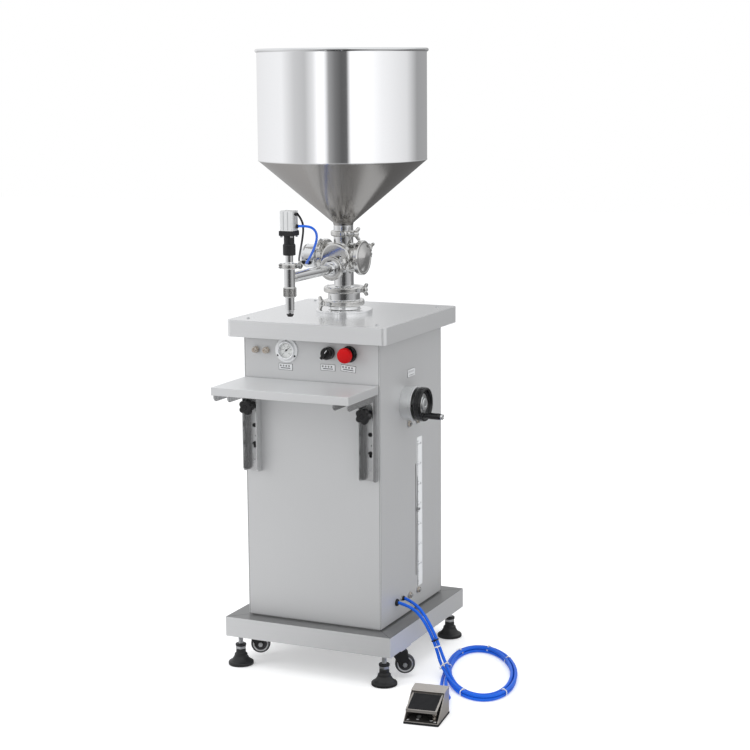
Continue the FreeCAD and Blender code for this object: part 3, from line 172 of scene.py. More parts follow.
def shade_group():
    """Moves a colour darker and lighter with a mask."""
    group, given, result = new_group("Colour variation", [("Colour", "c", (0.5, 0.5, 0.5, 1)),
        ("Mask", "f", 0.5), ("Amount", "f", 0.1)], [("Colour", "c")])
    centre = put(group, "ShaderNodeMath", {0: given.outputs["Mask"], 1: 0.5}, operation="SUBTRACT")
    gain = put(group, "ShaderNodeMath", {0: centre.outputs[0], 1: given.outputs["Amount"], 2: 1.0},
        operation="MULTIPLY_ADD")
    scale = put(group, "ShaderNodeVectorMath", {"Vector": given.outputs["Colour"],
        "Scale": gain.outputs[0]}, operation="SCALE")
    group.links.new(scale.outputs[0], result.inputs["Colour"])
    return group


GROUPS = {}


def surface(name, colour, metallic, rough, vary=0.1, stretch=(1, 1, 1), scale=400.0, clouds=4.0,
        bump=0.02, coat=0.0, ior=1.5):
    """A Principled surface whose colour, roughness and height vary with the two groups."""
    if not GROUPS:
        GROUPS["grain"] = grain_group()
        GROUPS["shade"] = shade_group()
    material = bpy.data.materials.new(name)
    material.use_nodes = True
    tree = material.node_tree
    shader = tree.nodes["Principled BSDF"]
    shader.inputs["Metallic"].default_value = metallic
    shader.inputs["Coat Weight"].default_value = coat
    shader.inputs["IOR"].default_value = ior
    where = put(tree, "ShaderNodeTexCoord")
    grain = put(tree, "ShaderNodeGroup", node_tree=GROUPS["grain"])
    grain.inputs["Stretch"].default_value = stretch
    grain.inputs["Scale"].default_value = scale
    grain.inputs["Clouds"].default_value = clouds
    tree.links.new(where.outputs["Object"], grain.inputs["Vector"])
    mask = grain.outputs["Both"]
    shade = put(tree, "ShaderNodeGroup", {"Colour": (*colour[:3], 1), "Amount": vary,
        "Mask": mask}, node_tree=GROUPS["shade"])
    tree.links.new(shade.outputs["Colour"], shader.inputs["Base Color"])
    spread = put(tree, "ShaderNodeMapRange", {"Value": mask, "To Min": rough[0],
        "To Max": rough[1]})
    tree.links.new(spread.outputs["Result"], shader.inputs["Roughness"])
    if bump:
        relief = put(tree, "ShaderNodeBump", {"Strength": bump, "Distance": 0.0004,
            "Height": grain.outputs["Grain"]})
        tree.links.new(relief.outputs["Normal"], shader.inputs["Normal"])
    return material


def clear_surface(name):
    """The gauge's window."""
    material = surface(name, (0.97, 0.98, 0.98), 0.0, (0.02, 0.05), bump=0.0)
    shader = material.node_tree.nodes["Principled BSDF"]
    shader.inputs["Transmission Weight"].default_value = 1.0
    shader.inputs["Alpha"].default_value = 0.12
    return material


FINISH = {}


def make_finishes(tones):
    """Every finish of the machine, by name."""
    upright, across = (1, 1, 0.012), (0.012, 1, 1)
    sheet, polished = tones.sheet, tones.polished
    depth = tones.grain
    FINISH.update({"sheet upright": surface("Sheet steel, grain upright",
        [0.74 * c for c in sheet], 0.55, (0.42, 0.56), 0.07, upright, 900, 3.0, depth),
        "sheet across": surface("Sheet steel, grain across", [0.94 * c for c in sheet], 0.75,
        (0.34, 0.48), 0.08, across, 900, 3.0, depth), "table sheet": surface(
        "Sheet steel of the table", [0.94 * c for c in sheet], 0.85, (0.20, 0.30), 0.08, across,
        900, 3.0, depth), "bright sheet": surface("Bent strip steel", [0.92 * c for c in sheet],
        1.0, (0.20, 0.32), 0.10, upright, 900, 3.0, depth),
        "sheet darker": surface("Sheet steel of the base", [0.80 * c for c in sheet], 0.6,
        # sheet dark: the base's top faces, the same steel as its sides but painted nearly black, a
        # painted shade
        (0.36, 0.50), 0.10, across, 900, 5.0, depth), "sheet dark": surface(
        "Sheet steel of the base top", [0.24 * c for c in sheet], 0.6, (0.24, 0.36), 0.12, across,
        900, 5.0, depth), "warm sheet": surface("Foot valve steel", (0.60, 0.565, 0.53), 0.8,
        (0.30, 0.42), 0.14, (1, 1, 1), 260, 12.0, 0.06), "polished": surface("Polished steel",
        polished, 1.0, (0.04, 0.10), 0.05, (1, 1, 0.05), 500, 6.0, 0.01),
        "hopper wall": surface("Hopper wall, polished", [0.97, 0.975, 0.985], 1.0, (0.05, 0.09),
        # hopper cone: the same steel as the wall, its colour dropped to less than half the wall's
        # as painted shade on the cone's downward face; the wall's weld strip uses it too
        0.03, (0.25, 0.25, 1), 700, 3.0, 0.006), "hopper cone shade and weld": surface("Hopper cone, satin",
        (0.44, 0.425, 0.41), 1.0, (0.14, 0.24), 0.12, (1, 1, 0.03), 700, 6.0, 0.05),
        "cast": surface("Cast and tumbled steel", (0.74, 0.735, 0.72), 1.0, (0.10, 0.24), 0.25,
        (1, 1, 1), 200, 14.0, 0.10), "zinc": surface("Zinc-plated steel", (0.62, 0.63, 0.64), 1.0,
        (0.26, 0.42), 0.16, (1, 1, 1), 220, 20.0, 0.05), "tawny": surface("Nickel, warm tinted",
        (0.66, 0.60, 0.53), 1.0, (0.18, 0.34), 0.35, (1, 1, 1), 300, 60.0, 0.05),
        "aluminium": surface("Turned aluminium", (0.80, 0.81, 0.81), 1.0, (0.30, 0.44), 0.08,
        (1, 1, 1), 900, 10.0, 0.04), "anodised": surface("Silver anodised aluminium",
        (0.86, 0.87, 0.87), 0.6, (0.42, 0.5), 0.05, (1, 1, 0.02), 900, 8.0, 0.03),
        "black": surface("Black moulded plastic", (0.012, 0.012, 0.013), 0.0, (0.34, 0.5), 0.3,
        (1, 1, 1), 900, 20.0, 0.12), "black gloss": surface("Black gloss plastic",
        (0.008, 0.008, 0.009), 0.0, (0.12, 0.22), 0.2, (1, 1, 1), 400, 20.0, 0.02),
        "rubber": surface("Black rubber", (0.012, 0.012, 0.014), 0.0, (0.55, 0.75), 0.4, (1, 1, 1),
        # inside: near-black, a painted shade on the air valve's body and on the housing floor under
        # the pedal
        1400, 30.0, 0.3), "inside": surface("Dark inside", (0.02, 0.018, 0.016), 0.0, (0.6, 0.8),
        0.4, (1, 1, 1), 200, 20.0, 0.1), "nylon": surface("Grey nylon tread", (0.045, 0.045, 0.05),
        0.0, (0.4, 0.55), 0.25, (1, 1, 1), 700, 20.0, 0.1),
        "red": surface("Red moulded plastic", tones.stop, 0.0, (0.42, 0.52), 0.12, (1, 1, 1), 500,
        30.0, 0.03, 0.0, 1.3), "dial": surface("Printed dial face", (0.82, 0.83, 0.82), 0.0,
        (0.4, 0.5), 0.04, (1, 1, 1), 300, 30.0, 0.0), "print": surface("Black print",
        (0.015, 0.015, 0.018), 0.0, (0.5, 0.6), 0.2, (1, 1, 1), 300, 30.0, 0.0),
        "plate": surface("White printed plate", (0.80, 0.81, 0.82), 0.0, (0.3, 0.4), 0.05,
        (1, 1, 1), 200, 20.0, 0.01), "hose": surface("Blue polyurethane hose", tones.hose, 0.0,
        (0.30, 0.42), 0.25, (1, 1, 1), 60, 14.0, 0.02, 0.0, 1.4),
        "cable": surface("Black cable jacket", (0.01, 0.01, 0.012), 0.0, (0.3, 0.45), 0.3,
        (1, 1, 1), 500, 30.0, 0.05), "tie": surface("White nylon tie", (0.78, 0.78, 0.76), 0.0,
        (0.35, 0.5), 0.1, (1, 1, 1), 500, 30.0, 0.05), "seam": surface("Seam shadow",
        (0.05, 0.05, 0.05), 0.0, (0.6, 0.8), 0.3, (1, 1, 1), 500, 30.0, 0.0),
        "window": clear_surface("Gauge window"),})


# Mesh making -----------------------------------------------------------------------------


def evaluated_mesh(piece):
    """A plain mesh of an object as its curve or modifiers make it."""
    bpy.context.view_layer.update()
    graph = bpy.context.evaluated_depsgraph_get()
    return bpy.data.meshes.new_from_object(piece.evaluated_get(graph), depsgraph=graph)


def new_object(name, data):
    """An object in the scene that holds some data."""
    item = bpy.data.objects.new(name, data)
    bpy.context.scene.collection.objects.link(item)
    return item


def basis(axis, up=None):
    """Two unit vectors across an axis."""
    axis = axis.normalized()
    helper = up or (Z if abs(axis.z) < 0.9 else X)
    side = (helper - axis * helper.dot(axis)).normalized()
    return side, axis.cross(side), axis


def soften(profile, size, steps=3):
    """Rounds the corners of a line of (radius, height) points."""
    points = [Vector(p) for p in profile]
    result = [points[0]]
    for before, here, after in zip(points, points[1:], points[2:]):
        into, away = here - before, after - here
        reach = min(size, 0.45 * into.length, 0.45 * away.length)
        if reach < 1e-4 or into.angle(away) < 0.1:
            result.append(here)
            continue
        start, end = here - into.normalized() * reach, here + away.normalized() * reach
        for i in range(steps + 1):
            t = i / steps
            result.append(start * (1 - t) ** 2 + here * (2 * t * (1 - t)) + end * t ** 2)
    result.append(points[-1])
    return result


def round_edges(shape, edges, size):
    """Rounds chosen edges of a shape."""
    bmesh.ops.bevel(shape, geom=edges, offset=size, segments=2, profile=0.6, affect="EDGES",
        clamp_overlap=True)


class Maker:
    """Collects the closed shapes of one piece, in millimetres, each with its finish."""

    def __init__(self):
        self.mesh = bmesh.new()
        self.finishes = []

    def index(self, finish):
        """The number of a finish in the piece."""
        if finish not in self.finishes:
            self.finishes.append(finish)
        return self.finishes.index(finish)

    def add(self, shape):
        """Moves a shape into the piece."""
        part = bpy.data.meshes.new("part")
        shape.to_mesh(part)
        shape.free()
        self.mesh.from_mesh(part)
        bpy.data.meshes.remove(part)
        return self

    def take(self, shape, finish, smooth=True):
        """Adds a finished closed shape, its faces turned outwards."""
        bmesh.ops.recalc_face_normals(shape, faces=shape.faces)
        number = self.index(finish)
        for face in shape.faces:
            face.material_index = number
            face.smooth = smooth
        return self.add(shape)

    def lathe(self, at, axis, profile, finish, steps=48, size=0.6, lobes=None, closed=False):
        """Turns a profile of (radius, height) points about an axis."""
        side, other, axis = basis(axis)
        at = Vector(at)
        line = soften(profile, size) if size else [Vector(p) for p in profile]
        shape = bmesh.new()
        rings = []
        for r, h in line:
            if r < 1e-4:
                rings.append([shape.verts.new(at + axis * h)])
                continue
            ring = []
            for i in range(steps):
                a = math.tau * i / steps
                reach = r * (lobes(a, r) if lobes else 1.0)
                ring.append(shape.verts.new(at + axis * h + (side * math.cos(a)
                    + other * math.sin(a)) * reach))
            rings.append(ring)
        pairs = list(zip(rings, rings[1:]))
        if closed:
            pairs.append((rings[-1], rings[0]))
        for low, high in pairs:
            for i in range(steps):
                j = (i + 1) % steps
                if len(low) == 1 and len(high) == 1:
                    break
                if len(low) == 1:
                    shape.faces.new((low[0], high[i], high[j]))
                elif len(high) == 1:
                    shape.faces.new((low[i], low[j], high[0]))
                else:
                    shape.faces.new((low[i], low[j], high[j], high[i]))
        return self.take(shape, finish)

    def rod(self, at, axis, radius, length, finish, steps=24, size=0.5):
        """A round rod from one end."""
        return self.lathe(at, axis, [(0, 0), (radius, 0), (radius, length), (0, length)], finish,
            steps, size)

    def pipe(self, at, axis, outer, inner, length, finish, steps=48, size=0.5):
        """A round tube from one end."""
        profile = [(inner, length / 2), (inner, 0), (outer, 0), (outer, length), (inner, length),
            (inner, length / 2)]
        line = soften(profile, size)[:-1]
        return self.lathe(at, axis, [tuple(p) for p in line], finish, steps, 0, closed=True)

    def extrude(self, outline, at, axis, up, height, finish, size=0.6):
        """Extrudes an outline of (side, up) points along an axis and rounds its edges."""
        axis = axis.normalized()
        up = (up - axis * up.dot(axis)).normalized()
        side = up.cross(axis)
        at = Vector(at)
        shape = bmesh.new()
        low = [shape.verts.new(at + side * x + up * y) for x, y in outline]
        base = shape.faces.new(low)
        grown = bmesh.ops.extrude_face_region(shape, geom=[base])
        moved = [v for v in grown["geom"] if isinstance(v, bmesh.types.BMVert)]
        bmesh.ops.translate(shape, verts=moved, vec=axis * height)
        bmesh.ops.recalc_face_normals(shape, faces=shape.faces)
        if size:
            sharp = [e for e in shape.edges if e.calc_face_angle(0) > 0.5]
            round_edges(shape, sharp, size)
        return self.take(shape, finish)

    def block(self, low, high, finish, size=0.6, turn=None):
        """A box between two corners with rounded edges, turned by a matrix if given."""
        low, high = Vector(low), Vector(high)
        shape = bmesh.new()
        bmesh.ops.create_cube(shape, size=1.0)
        for v in shape.verts:
            v.co = Vector([low[i] + (v.co[i] + 0.5) * (high[i] - low[i]) for i in range(3)])
        if size:
            round_edges(shape, list(shape.edges), size)
        if turn:
            bmesh.ops.transform(shape, matrix=turn, verts=shape.verts)
        return self.take(shape, finish)

    def band(self, rows, finish):
        """Joins rows of points, each a closed ring, into one closed loop."""
        shape = bmesh.new()
        rings = [[shape.verts.new(p) for p in row] for row in rows]
        count = len(rings[0])
        for low, high in zip(rings, rings[1:] + rings[:1]):
            for i in range(count):
                j = (i + 1) % count
                shape.faces.new((low[i], low[j], high[j], high[i]))
        return self.take(shape, finish)

    def carried(self, node, finish, size=0.5, angle=30, top=None):
        """A welded copy of a CAD node with its sharp edges rounded, its top finished apart."""
        shape = bmesh.new()
        shape.from_mesh(frame["nodes"][node].data)
        bmesh.ops.scale(shape, vec=(1 / MM,) * 3, verts=shape.verts)
        bmesh.ops.remove_doubles(shape, verts=shape.verts, dist=0.002)
        bmesh.ops.dissolve_limit(shape, angle_limit=math.radians(0.6), verts=shape.verts,
            edges=shape.edges, use_dissolve_boundaries=False)
        if size:
            sharp = [e for e in shape.edges if len(e.link_faces) == 2
                and e.calc_face_angle(0) > math.radians(angle)]
            round_edges(shape, sharp, size)
        number = self.index(finish)
        above = self.index(top) if top else number
        for face in shape.faces:
            face.material_index = above if face.normal.z > 0.95 else number
            face.smooth = True
        return self.add(shape)

    def turned(self, matrix):
        """Moves all that was added so far."""
        bmesh.ops.transform(self.mesh, matrix=matrix, verts=self.mesh.verts)
        return self

    def bare(self, name):
        """The shapes as a mesh in metres, without finishes."""
        bmesh.ops.scale(self.mesh, vec=(MM, MM, MM), verts=self.mesh.verts)
        data = bpy.data.meshes.new(name)
        self.mesh.to_mesh(data)
        self.mesh.free()
        return data

    def build(self, name, body, slot, nodes=(), sharp=32):
        """Makes the piece, at the origin, riding on its body."""
        data = self.bare(name)
        for finish in self.finishes:
            data.materials.append(FINISH[finish])
        data.set_sharp_from_angle(angle=math.radians(sharp))
        piece = new_object(name, data)
        even_normals(piece)
        settle(piece, body, nodes)


def settle(piece, body, nodes):
    """Puts a piece on its body and hides the CAD nodes it stands for."""
    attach(piece, body)
    if nodes:
        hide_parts(*nodes)


def even_normals(piece):
    """Shades wide faces flat and lets only their rounded edges turn."""
    modifier = piece.modifiers.new("Weighted", "WEIGHTED_NORMAL")
    modifier.keep_sharp = True
    modifier.weight = 80
    data = evaluated_mesh(piece)
    piece.modifiers.clear()
    old, piece.data = piece.data, data
    name = old.name
    bpy.data.meshes.remove(old)
    data.name = name


def polygon(sides, radius, turn=0.0):
    """Corners of an even polygon."""
    return [(radius * math.cos(math.tau * i / sides + turn),
        radius * math.sin(math.tau * i / sides + turn)) for i in range(sides)]


def repeat_tree(name, finish):
    """A Geometry Nodes tree that puts a shape at every point, turned by the point's attribute."""
    tree = bpy.data.node_groups.new(name, "GeometryNodeTree")
    face = tree.interface
    face.new_socket("Geometry", in_out="INPUT", socket_type="NodeSocketGeometry")
    shape = face.new_socket("Shape", in_out="INPUT", socket_type="NodeSocketObject")
    size = face.new_socket("Size", in_out="INPUT", socket_type="NodeSocketFloat")
    face.new_socket("Geometry", in_out="OUTPUT", socket_type="NodeSocketGeometry")
    given, result = put(tree, "NodeGroupInput"), put(tree, "NodeGroupOutput")
    info = put(tree, "GeometryNodeObjectInfo", {"Object": given.outputs["Shape"]})
    turn = put(tree, "GeometryNodeInputNamedAttribute", {"Name": "turn"}, data_type="FLOAT_VECTOR")
    spread = put(tree, "GeometryNodeInstanceOnPoints", {"Points": given.outputs["Geometry"],
        "Instance": info.outputs["Geometry"], "Rotation": turn.outputs["Attribute"],
        "Scale": given.outputs["Size"]})
    solid = put(tree, "GeometryNodeRealizeInstances", {"Geometry": spread.outputs["Instances"]})
    paint = put(tree, "GeometryNodeSetMaterial", {"Geometry": solid.outputs["Geometry"],
        "Material": FINISH[finish]})
    tree.links.new(paint.outputs["Geometry"], result.inputs["Geometry"])
    return tree, shape.identifier, size.identifier


def scattered(name, maker, places, finish, body, nodes=()):
    """Repeats a small shape at places, each a frame matrix, as one plain mesh."""
    points = bpy.data.meshes.new(name + "_places")
    points.from_pydata([m.to_translation() for m in places], [], [])
    turn = points.attributes.new("turn", "FLOAT_VECTOR", "POINT")
    for i, m in enumerate(places):
        turn.data[i].vector = m.to_euler()
    piece = new_object(name, points)
    seed = new_object(name + "_seed", maker.bare(name + "_seed"))
    tree, shape, size = repeat_tree(name + "_repeat", finish)
    modifier = piece.modifiers.new("Repeat", "NODES")
    modifier.node_group = tree
    modifier[shape] = seed
    modifier[size] = 1.0
    data = evaluated_mesh(piece)
    piece.modifiers.clear()
    bpy.data.objects.remove(seed)
    data.name = name
    data.materials.clear()
    data.materials.append(FINISH[finish])
    piece.data = data
    data.set_sharp_from_angle(angle=math.radians(32))
    settle(piece, body, nodes)


def facing(at, axis, spin=0.0):
    """A frame matrix in metres whose own +Z looks along an axis."""
    side, other, axis = basis(axis)
    turn = Matrix((side, other, axis)).transposed().to_4x4()
    return Matrix.Translation(Vector(at) * MM) @ turn @ Matrix.Rotation(spin, 4, "Z")


# Camera and stage ------------------------------------------------------------------------


class FILLER_OT_camera(bpy.types.Operator):
    """Place the camera"""

    bl_idname = "filler.camera"
    bl_label = "Camera"

    def execute(self, context):
        view = context.scene.filler_camera
        data = bpy.data.cameras.new("Camera")
        data.lens = view.lens
        data.sensor_width = 36
        data.clip_end = 60
        camera = new_object("Camera", data)
        sight = Vector((-math.sin(view.heading) * math.cos(view.dip),
            math.cos(view.heading) * math.cos(view.dip), -math.sin(view.dip)))
        turn = sight.to_track_quat("-Z", "Y").to_matrix().to_4x4()
        camera.matrix_world = (Matrix.Translation(view.place) @ turn
            @ Matrix.Rotation(view.roll, 4, "Z"))
        context.scene.camera = camera
        return {"FINISHED"}


# Brightness of the studio round the machine, by bearing from the camera in degrees.
# A dark gap stands behind the camera, with soft boxes on either side of it.
STUDIO = [(-180, 0.80), (-125, 0.86), (-88, 0.90), (-66, 0.60), (-50, 0.52), (-38, 0.80),
    (-29, 1.25), (-22, 1.0), (-17, 0.34), (-8, 0.18), (0, 0.11), (7, 0.12), (12, 1.1), (20, 1.15),
    (38, 1.08), (56, 0.92), (74, 0.84), (98, 0.74), (122, 0.34), (150, 0.36)]


# Brightness of the floor as the machine's steel mirrors it, by the same bearing.
FLOOR_GLOW = [(-180, 0.45), (-95, 0.80), (-50, 0.46), (-20, 0.08), (10, 0.05), (42, 0.40),
    (78, 0.50), (104, 0.20), (150, 0.20)]


class FILLER_OT_stage(bpy.types.Operator):
    """Lay the floor and set the lights"""

    bl_idname = "filler.stage"
    bl_label = "Floor and lights"

    def ramp(self, tree, sight, lights):
        """Brightness by the bearing that a sight line or a place has from the camera's heading."""
        heading = bpy.context.scene.filler_camera.heading
        toward = put(tree, "ShaderNodeMath", {0: sight.outputs["Y"], 1: -1.0}, operation="MULTIPLY")
        bearing = put(tree, "ShaderNodeMath", {0: sight.outputs["X"], 1: toward.outputs[0]},
            operation="ARCTAN2")
        share = put(tree, "ShaderNodeMath", {0: bearing.outputs[0], 1: 1 / math.tau,
            2: 0.5 - heading / math.tau}, operation="MULTIPLY_ADD")
        wrap = put(tree, "ShaderNodeMath", {0: share.outputs[0]}, operation="FRACT")
        ramp = put(tree, "ShaderNodeValToRGB", {"Fac": wrap.outputs[0]})
        stops = ramp.color_ramp.elements
        stops.remove(stops[1])
        for i, (degrees, light) in enumerate(lights):
            stop = stops[0] if i == 0 else stops.new((degrees + 180) / 360)
            stop.position = (degrees + 180) / 360
            stop.color = (light, light, light * 1.01, 1)
        return ramp.outputs["Color"]

    def floor(self):
        """A pale floor, whose mirror image in the steel is darker towards the camera."""
        material = bpy.data.materials.new("Pale floor")
        material.use_nodes = True
        tree = material.node_tree
        paint = tree.nodes["Principled BSDF"]
        paint.inputs["Base Color"].default_value = (0.93, 0.93, 0.93, 1)
        paint.inputs["Roughness"].default_value = 0.9
        paint.inputs["Specular IOR Level"].default_value = 0.0
        glow = put(tree, "ShaderNodeEmission", {"Strength": 0.26})
        lit = put(tree, "ShaderNodeAddShader", {0: paint.outputs[0], 1: glow.outputs[0]})
        where = put(tree, "ShaderNodeTexCoord")
        split = put(tree, "ShaderNodeSeparateXYZ", {0: where.outputs["Object"]})
        dim = put(tree, "ShaderNodeEmission", {"Color": self.ramp(tree, split, FLOOR_GLOW)})
        path = put(tree, "ShaderNodeLightPath")
        mix = put(tree, "ShaderNodeMixShader", {"Fac": path.outputs["Is Glossy Ray"],
            1: lit.outputs[0], 2: dim.outputs[0]})
        tree.links.new(mix.outputs[0], tree.nodes["Material Output"].inputs["Surface"])
        data = bpy.data.meshes.new("Floor")
        w = 14
        data.from_pydata([(-w, -w, 0), (w, -w, 0), (w, w, 0), (-w, w, 0)], [], [(0, 1, 2, 3)])
        data.materials.append(material)
        floor = new_object("Floor", data)
        floor.location.z = -0.0005

    def world(self):
        """Soft boxes round the machine under a pale sky, white where the camera sees it."""
        world = bpy.data.worlds.new("Studio")
        world.use_nodes = True
        tree = world.node_tree
        where = put(tree, "ShaderNodeTexCoord")
        split = put(tree, "ShaderNodeSeparateXYZ", {0: where.outputs["Generated"]})
        rise = put(tree, "ShaderNodeMapRange", {"Value": split.outputs["Z"], "From Min": 0.06,
            "From Max": 0.55})
        sky = put(tree, "ShaderNodeMix", {"Factor": rise.outputs["Result"],
            "A": self.ramp(tree, split, STUDIO), "B": (0.86, 0.87, 0.88, 1)}, data_type="RGBA")
        path = put(tree, "ShaderNodeLightPath")
        seen = put(tree, "ShaderNodeMix", {"Factor": path.outputs["Is Camera Ray"],
            "A": sky.outputs["Result"], "B": (1.0, 1.0, 1.0, 1)}, data_type="RGBA")
        back = tree.nodes["Background"]
        tree.links.new(seen.outputs["Result"], back.inputs["Color"])
        back.inputs["Strength"].default_value = 1.0
        bpy.context.scene.world = world

    def light(self, name, place, target, size, power):
        """A soft lamp that neither the camera nor the steel sees."""
        data = bpy.data.lights.new(name, "AREA")
        data.shape = "RECTANGLE"
        data.size, data.size_y = size
        data.energy = power
        lamp = new_object(name, data)
        aim = (Vector(target) - Vector(place)).to_track_quat("-Z", "Y").to_matrix().to_4x4()
        lamp.matrix_world = Matrix.Translation(place) @ aim
        lamp.visible_camera = False
        lamp.visible_glossy = False

    def execute(self, context):
        self.floor()
        self.world()
        self.light("Top_light", (0, -0.4, 4.2), (0, 0, 0.6), (3.6, 3.6), 60)
        self.light("Left_light", (-3.0, -2.6, 2.2), (0, 0, 0.8), (1.4, 2.4), 36)
        context.scene.view_settings.view_transform = "Standard"
        return {"FINISHED"}


# Hoses -----------------------------------------------------------------------------------

# Control points in millimetres, straight out of the cabinet and down to the loop.
DROP_A = [(188, -98, 175), (226, -97, 168), (254, -94, 138), (274, -91, 100), (288, -89, 62),
    (299, -93, 30)]
DROP_B = [(192, -67, 178), (229, -82, 172.5), (260, -90, 143), (281, -88.5, 104),
    (295.5, -86.5, 66), (307.5, -88, 38)]
# From the loop to the foot valve.
TAIL_A = [(326, -153, 4.6), (348, -202, 5.5), (368, -246, 8), (386.9, -286, 20),
    (391.6, -321.7, 24)]
TAIL_B = [(339, -158, 15), (361, -204, 6), (384, -248, 8), (402.8, -285, 20), (407.5, -319.8, 24)]
LOOP_CENTRE = (390, -52)
LOOP_TURN = math.radians(113.6)
NOZZLE_HOSE = [(24, -294, 1121), (37, -276, 1121), (43, -247, 1112), (33, -211, 1091),
    (6, -172, 1061), (-27, -128, 1035), (-56, -90, 1015), (-75, -61, 1007), (-80, -39, 1006)]
NOZZLE_CABLE = [(24, -294, 1149), (30, -283, 1134), (26, -270, 1111), (12, -250, 1084),
    (-8, -220, 1059), (-32, -179, 1040), (-56, -135, 1026), (-77, -94, 1016), (-91, -61, 1009),
    (-97, -39, 1006)]


def loop_point(turn, offset, height, sizes):
    """A point of the oval loop, in millimetres; turn is in whole turns from its near side."""
    a = math.tau * turn
    x = (sizes.long_radius / MM + offset) * math.cos(a)
    y = (sizes.short_radius / MM + offset) * math.sin(a)
    c, s = math.cos(LOOP_TURN), math.sin(LOOP_TURN)
    return (LOOP_CENTRE[0] + x * c - y * s, LOOP_CENTRE[1] + x * s + y * c, height)


def hose(name, points, radius, finish, slot, nodes):
    """One smooth hose or cable through its control points."""
    data = bpy.data.curves.new(name, "CURVE")
    data.dimensions = "3D"
    data.bevel_depth = radius
    data.bevel_resolution = 5
    data.resolution_u = 8
    data.use_fill_caps = True
    spline = data.splines.new("NURBS")
    spline.points.add(len(points) - 1)
    for point, place in zip(spline.points, points):
        point.co = (*(Vector(place) * MM), 1)
    spline.order_u = 3
    spline.use_endpoint_u = True
    data.materials.append(FINISH[finish])
    piece = new_object(name, data)
    path = route(piece)
    settle(piece, "machine", nodes)
    return path


def route(piece):
    """Points along the middle of a hose, in metres."""
    depth = piece.data.bevel_depth
    piece.data.bevel_depth = 0
    line = evaluated_mesh(piece)
    points = [v.co.copy() for v in line.vertices]
    bpy.data.meshes.remove(line)
    piece.data.bevel_depth = depth
    return points


class FILLER_OT_hoses(bpy.types.Operator):
    """Lay the foot valve's hoses with their loop and ties, and the nozzle's hose and cable"""

    bl_idname = "filler.hoses"
    bl_label = "Hoses and cable"

    def tie(self, maker, at, along, across, width, height, finish):
        """A flat band round hoses, with its lock."""
        along = along.normalized()
        across = (across - along * across.dot(along)).normalized()
        rise = along.cross(across)
        rows = []
        outline = polygon(20, 1.0)
        for step, grow in ((-1.6, 0.0), (-1.2, 0.55), (1.2, 0.55), (1.6, 0.0), (1.0, -0.1),
                (-1.0, -0.1)):
            row = []
            for c, s in outline:
                w = math.copysign(abs(c) ** 0.7, c) * (width / 2 + 0.5 + grow)
                h = math.copysign(abs(s) ** 0.7, s) * (height / 2 + 0.5 + grow)
                row.append(at + along * step + across * w + rise * h)
            rows.append(row)
        maker.band(rows, finish)
        lock = at + rise * (height / 2 + 1.2)
        turn = Matrix((across, along, rise)).transposed().to_4x4()
        maker.block((-2.2, -2.4, -1), (2.2, 2.4, 1.6), finish, 0.4, Matrix.Translation(lock) @ turn)

    def execute(self, context):
        sizes = context.scene.filler_hoses
        count = sizes.points
        lines = []
        for name, drop, tail, lane, exit_node in (("hose_left", DROP_A, TAIL_A, 4.3, "hose_a"),
                ("hose_right", DROP_B, TAIL_B, -4.3, "hose_b")):
            points = list(drop)
            start = 0.26
            for i in range(1, 2 * count):
                share = i / (2 * count)
                height = 12.4 if share < 0.46 else 4.15 if share > 0.54 else 8.3
                wander = 1.3 * math.sin(5.1 * share * math.pi + lane)
                points.append(loop_point(start + 2 * share, lane + wander, height, sizes))
            points += tail
            lines.append(hose(name, points, sizes.radius, "hose", "blue_hose",
                (exit_node, "hose_loop")))
        hose("nozzle_air_hose", NOZZLE_HOSE, 3 * MM, "hose", "blue_hose", ("nozzle_hose",))
        hose("nozzle_sensor_cable", NOZZLE_CABLE, 2.5 * MM, "cable", "black_cable",
            ("nozzle_cable",))

        ties = Maker()
        for height, finish in ((88, "black"), (72, "tie"), (30, "tie")):
            ends = []
            for line in lines:
                near = min(line[:60], key=lambda p: abs(p.z / MM - height))
                at = line.index(near)
                ends.append((near / MM, (line[at + 1] - line[at - 1])))
            (a, along), (b, _) = ends
            self.tie(ties, (a + b) / 2, along, b - a, (b - a).length + 8, 8, finish)
        for turn in (0.83, 0.945, 0.10, 0.22, 0.40, 0.60):
            at = Vector(loop_point(turn, 0, 8.3, sizes))
            ahead = Vector(loop_point(turn + 0.01, 0, 8.3, sizes)) - at
            self.tie(ties, at, ahead, Z.cross(ahead), 17, 16, "tie")
        ties.build("hose_ties_bands", "machine", "white_tie", ("hose_ties",))
        return {"FINISHED"}


# Cabinet, table, base --------------------------------------------------------------------


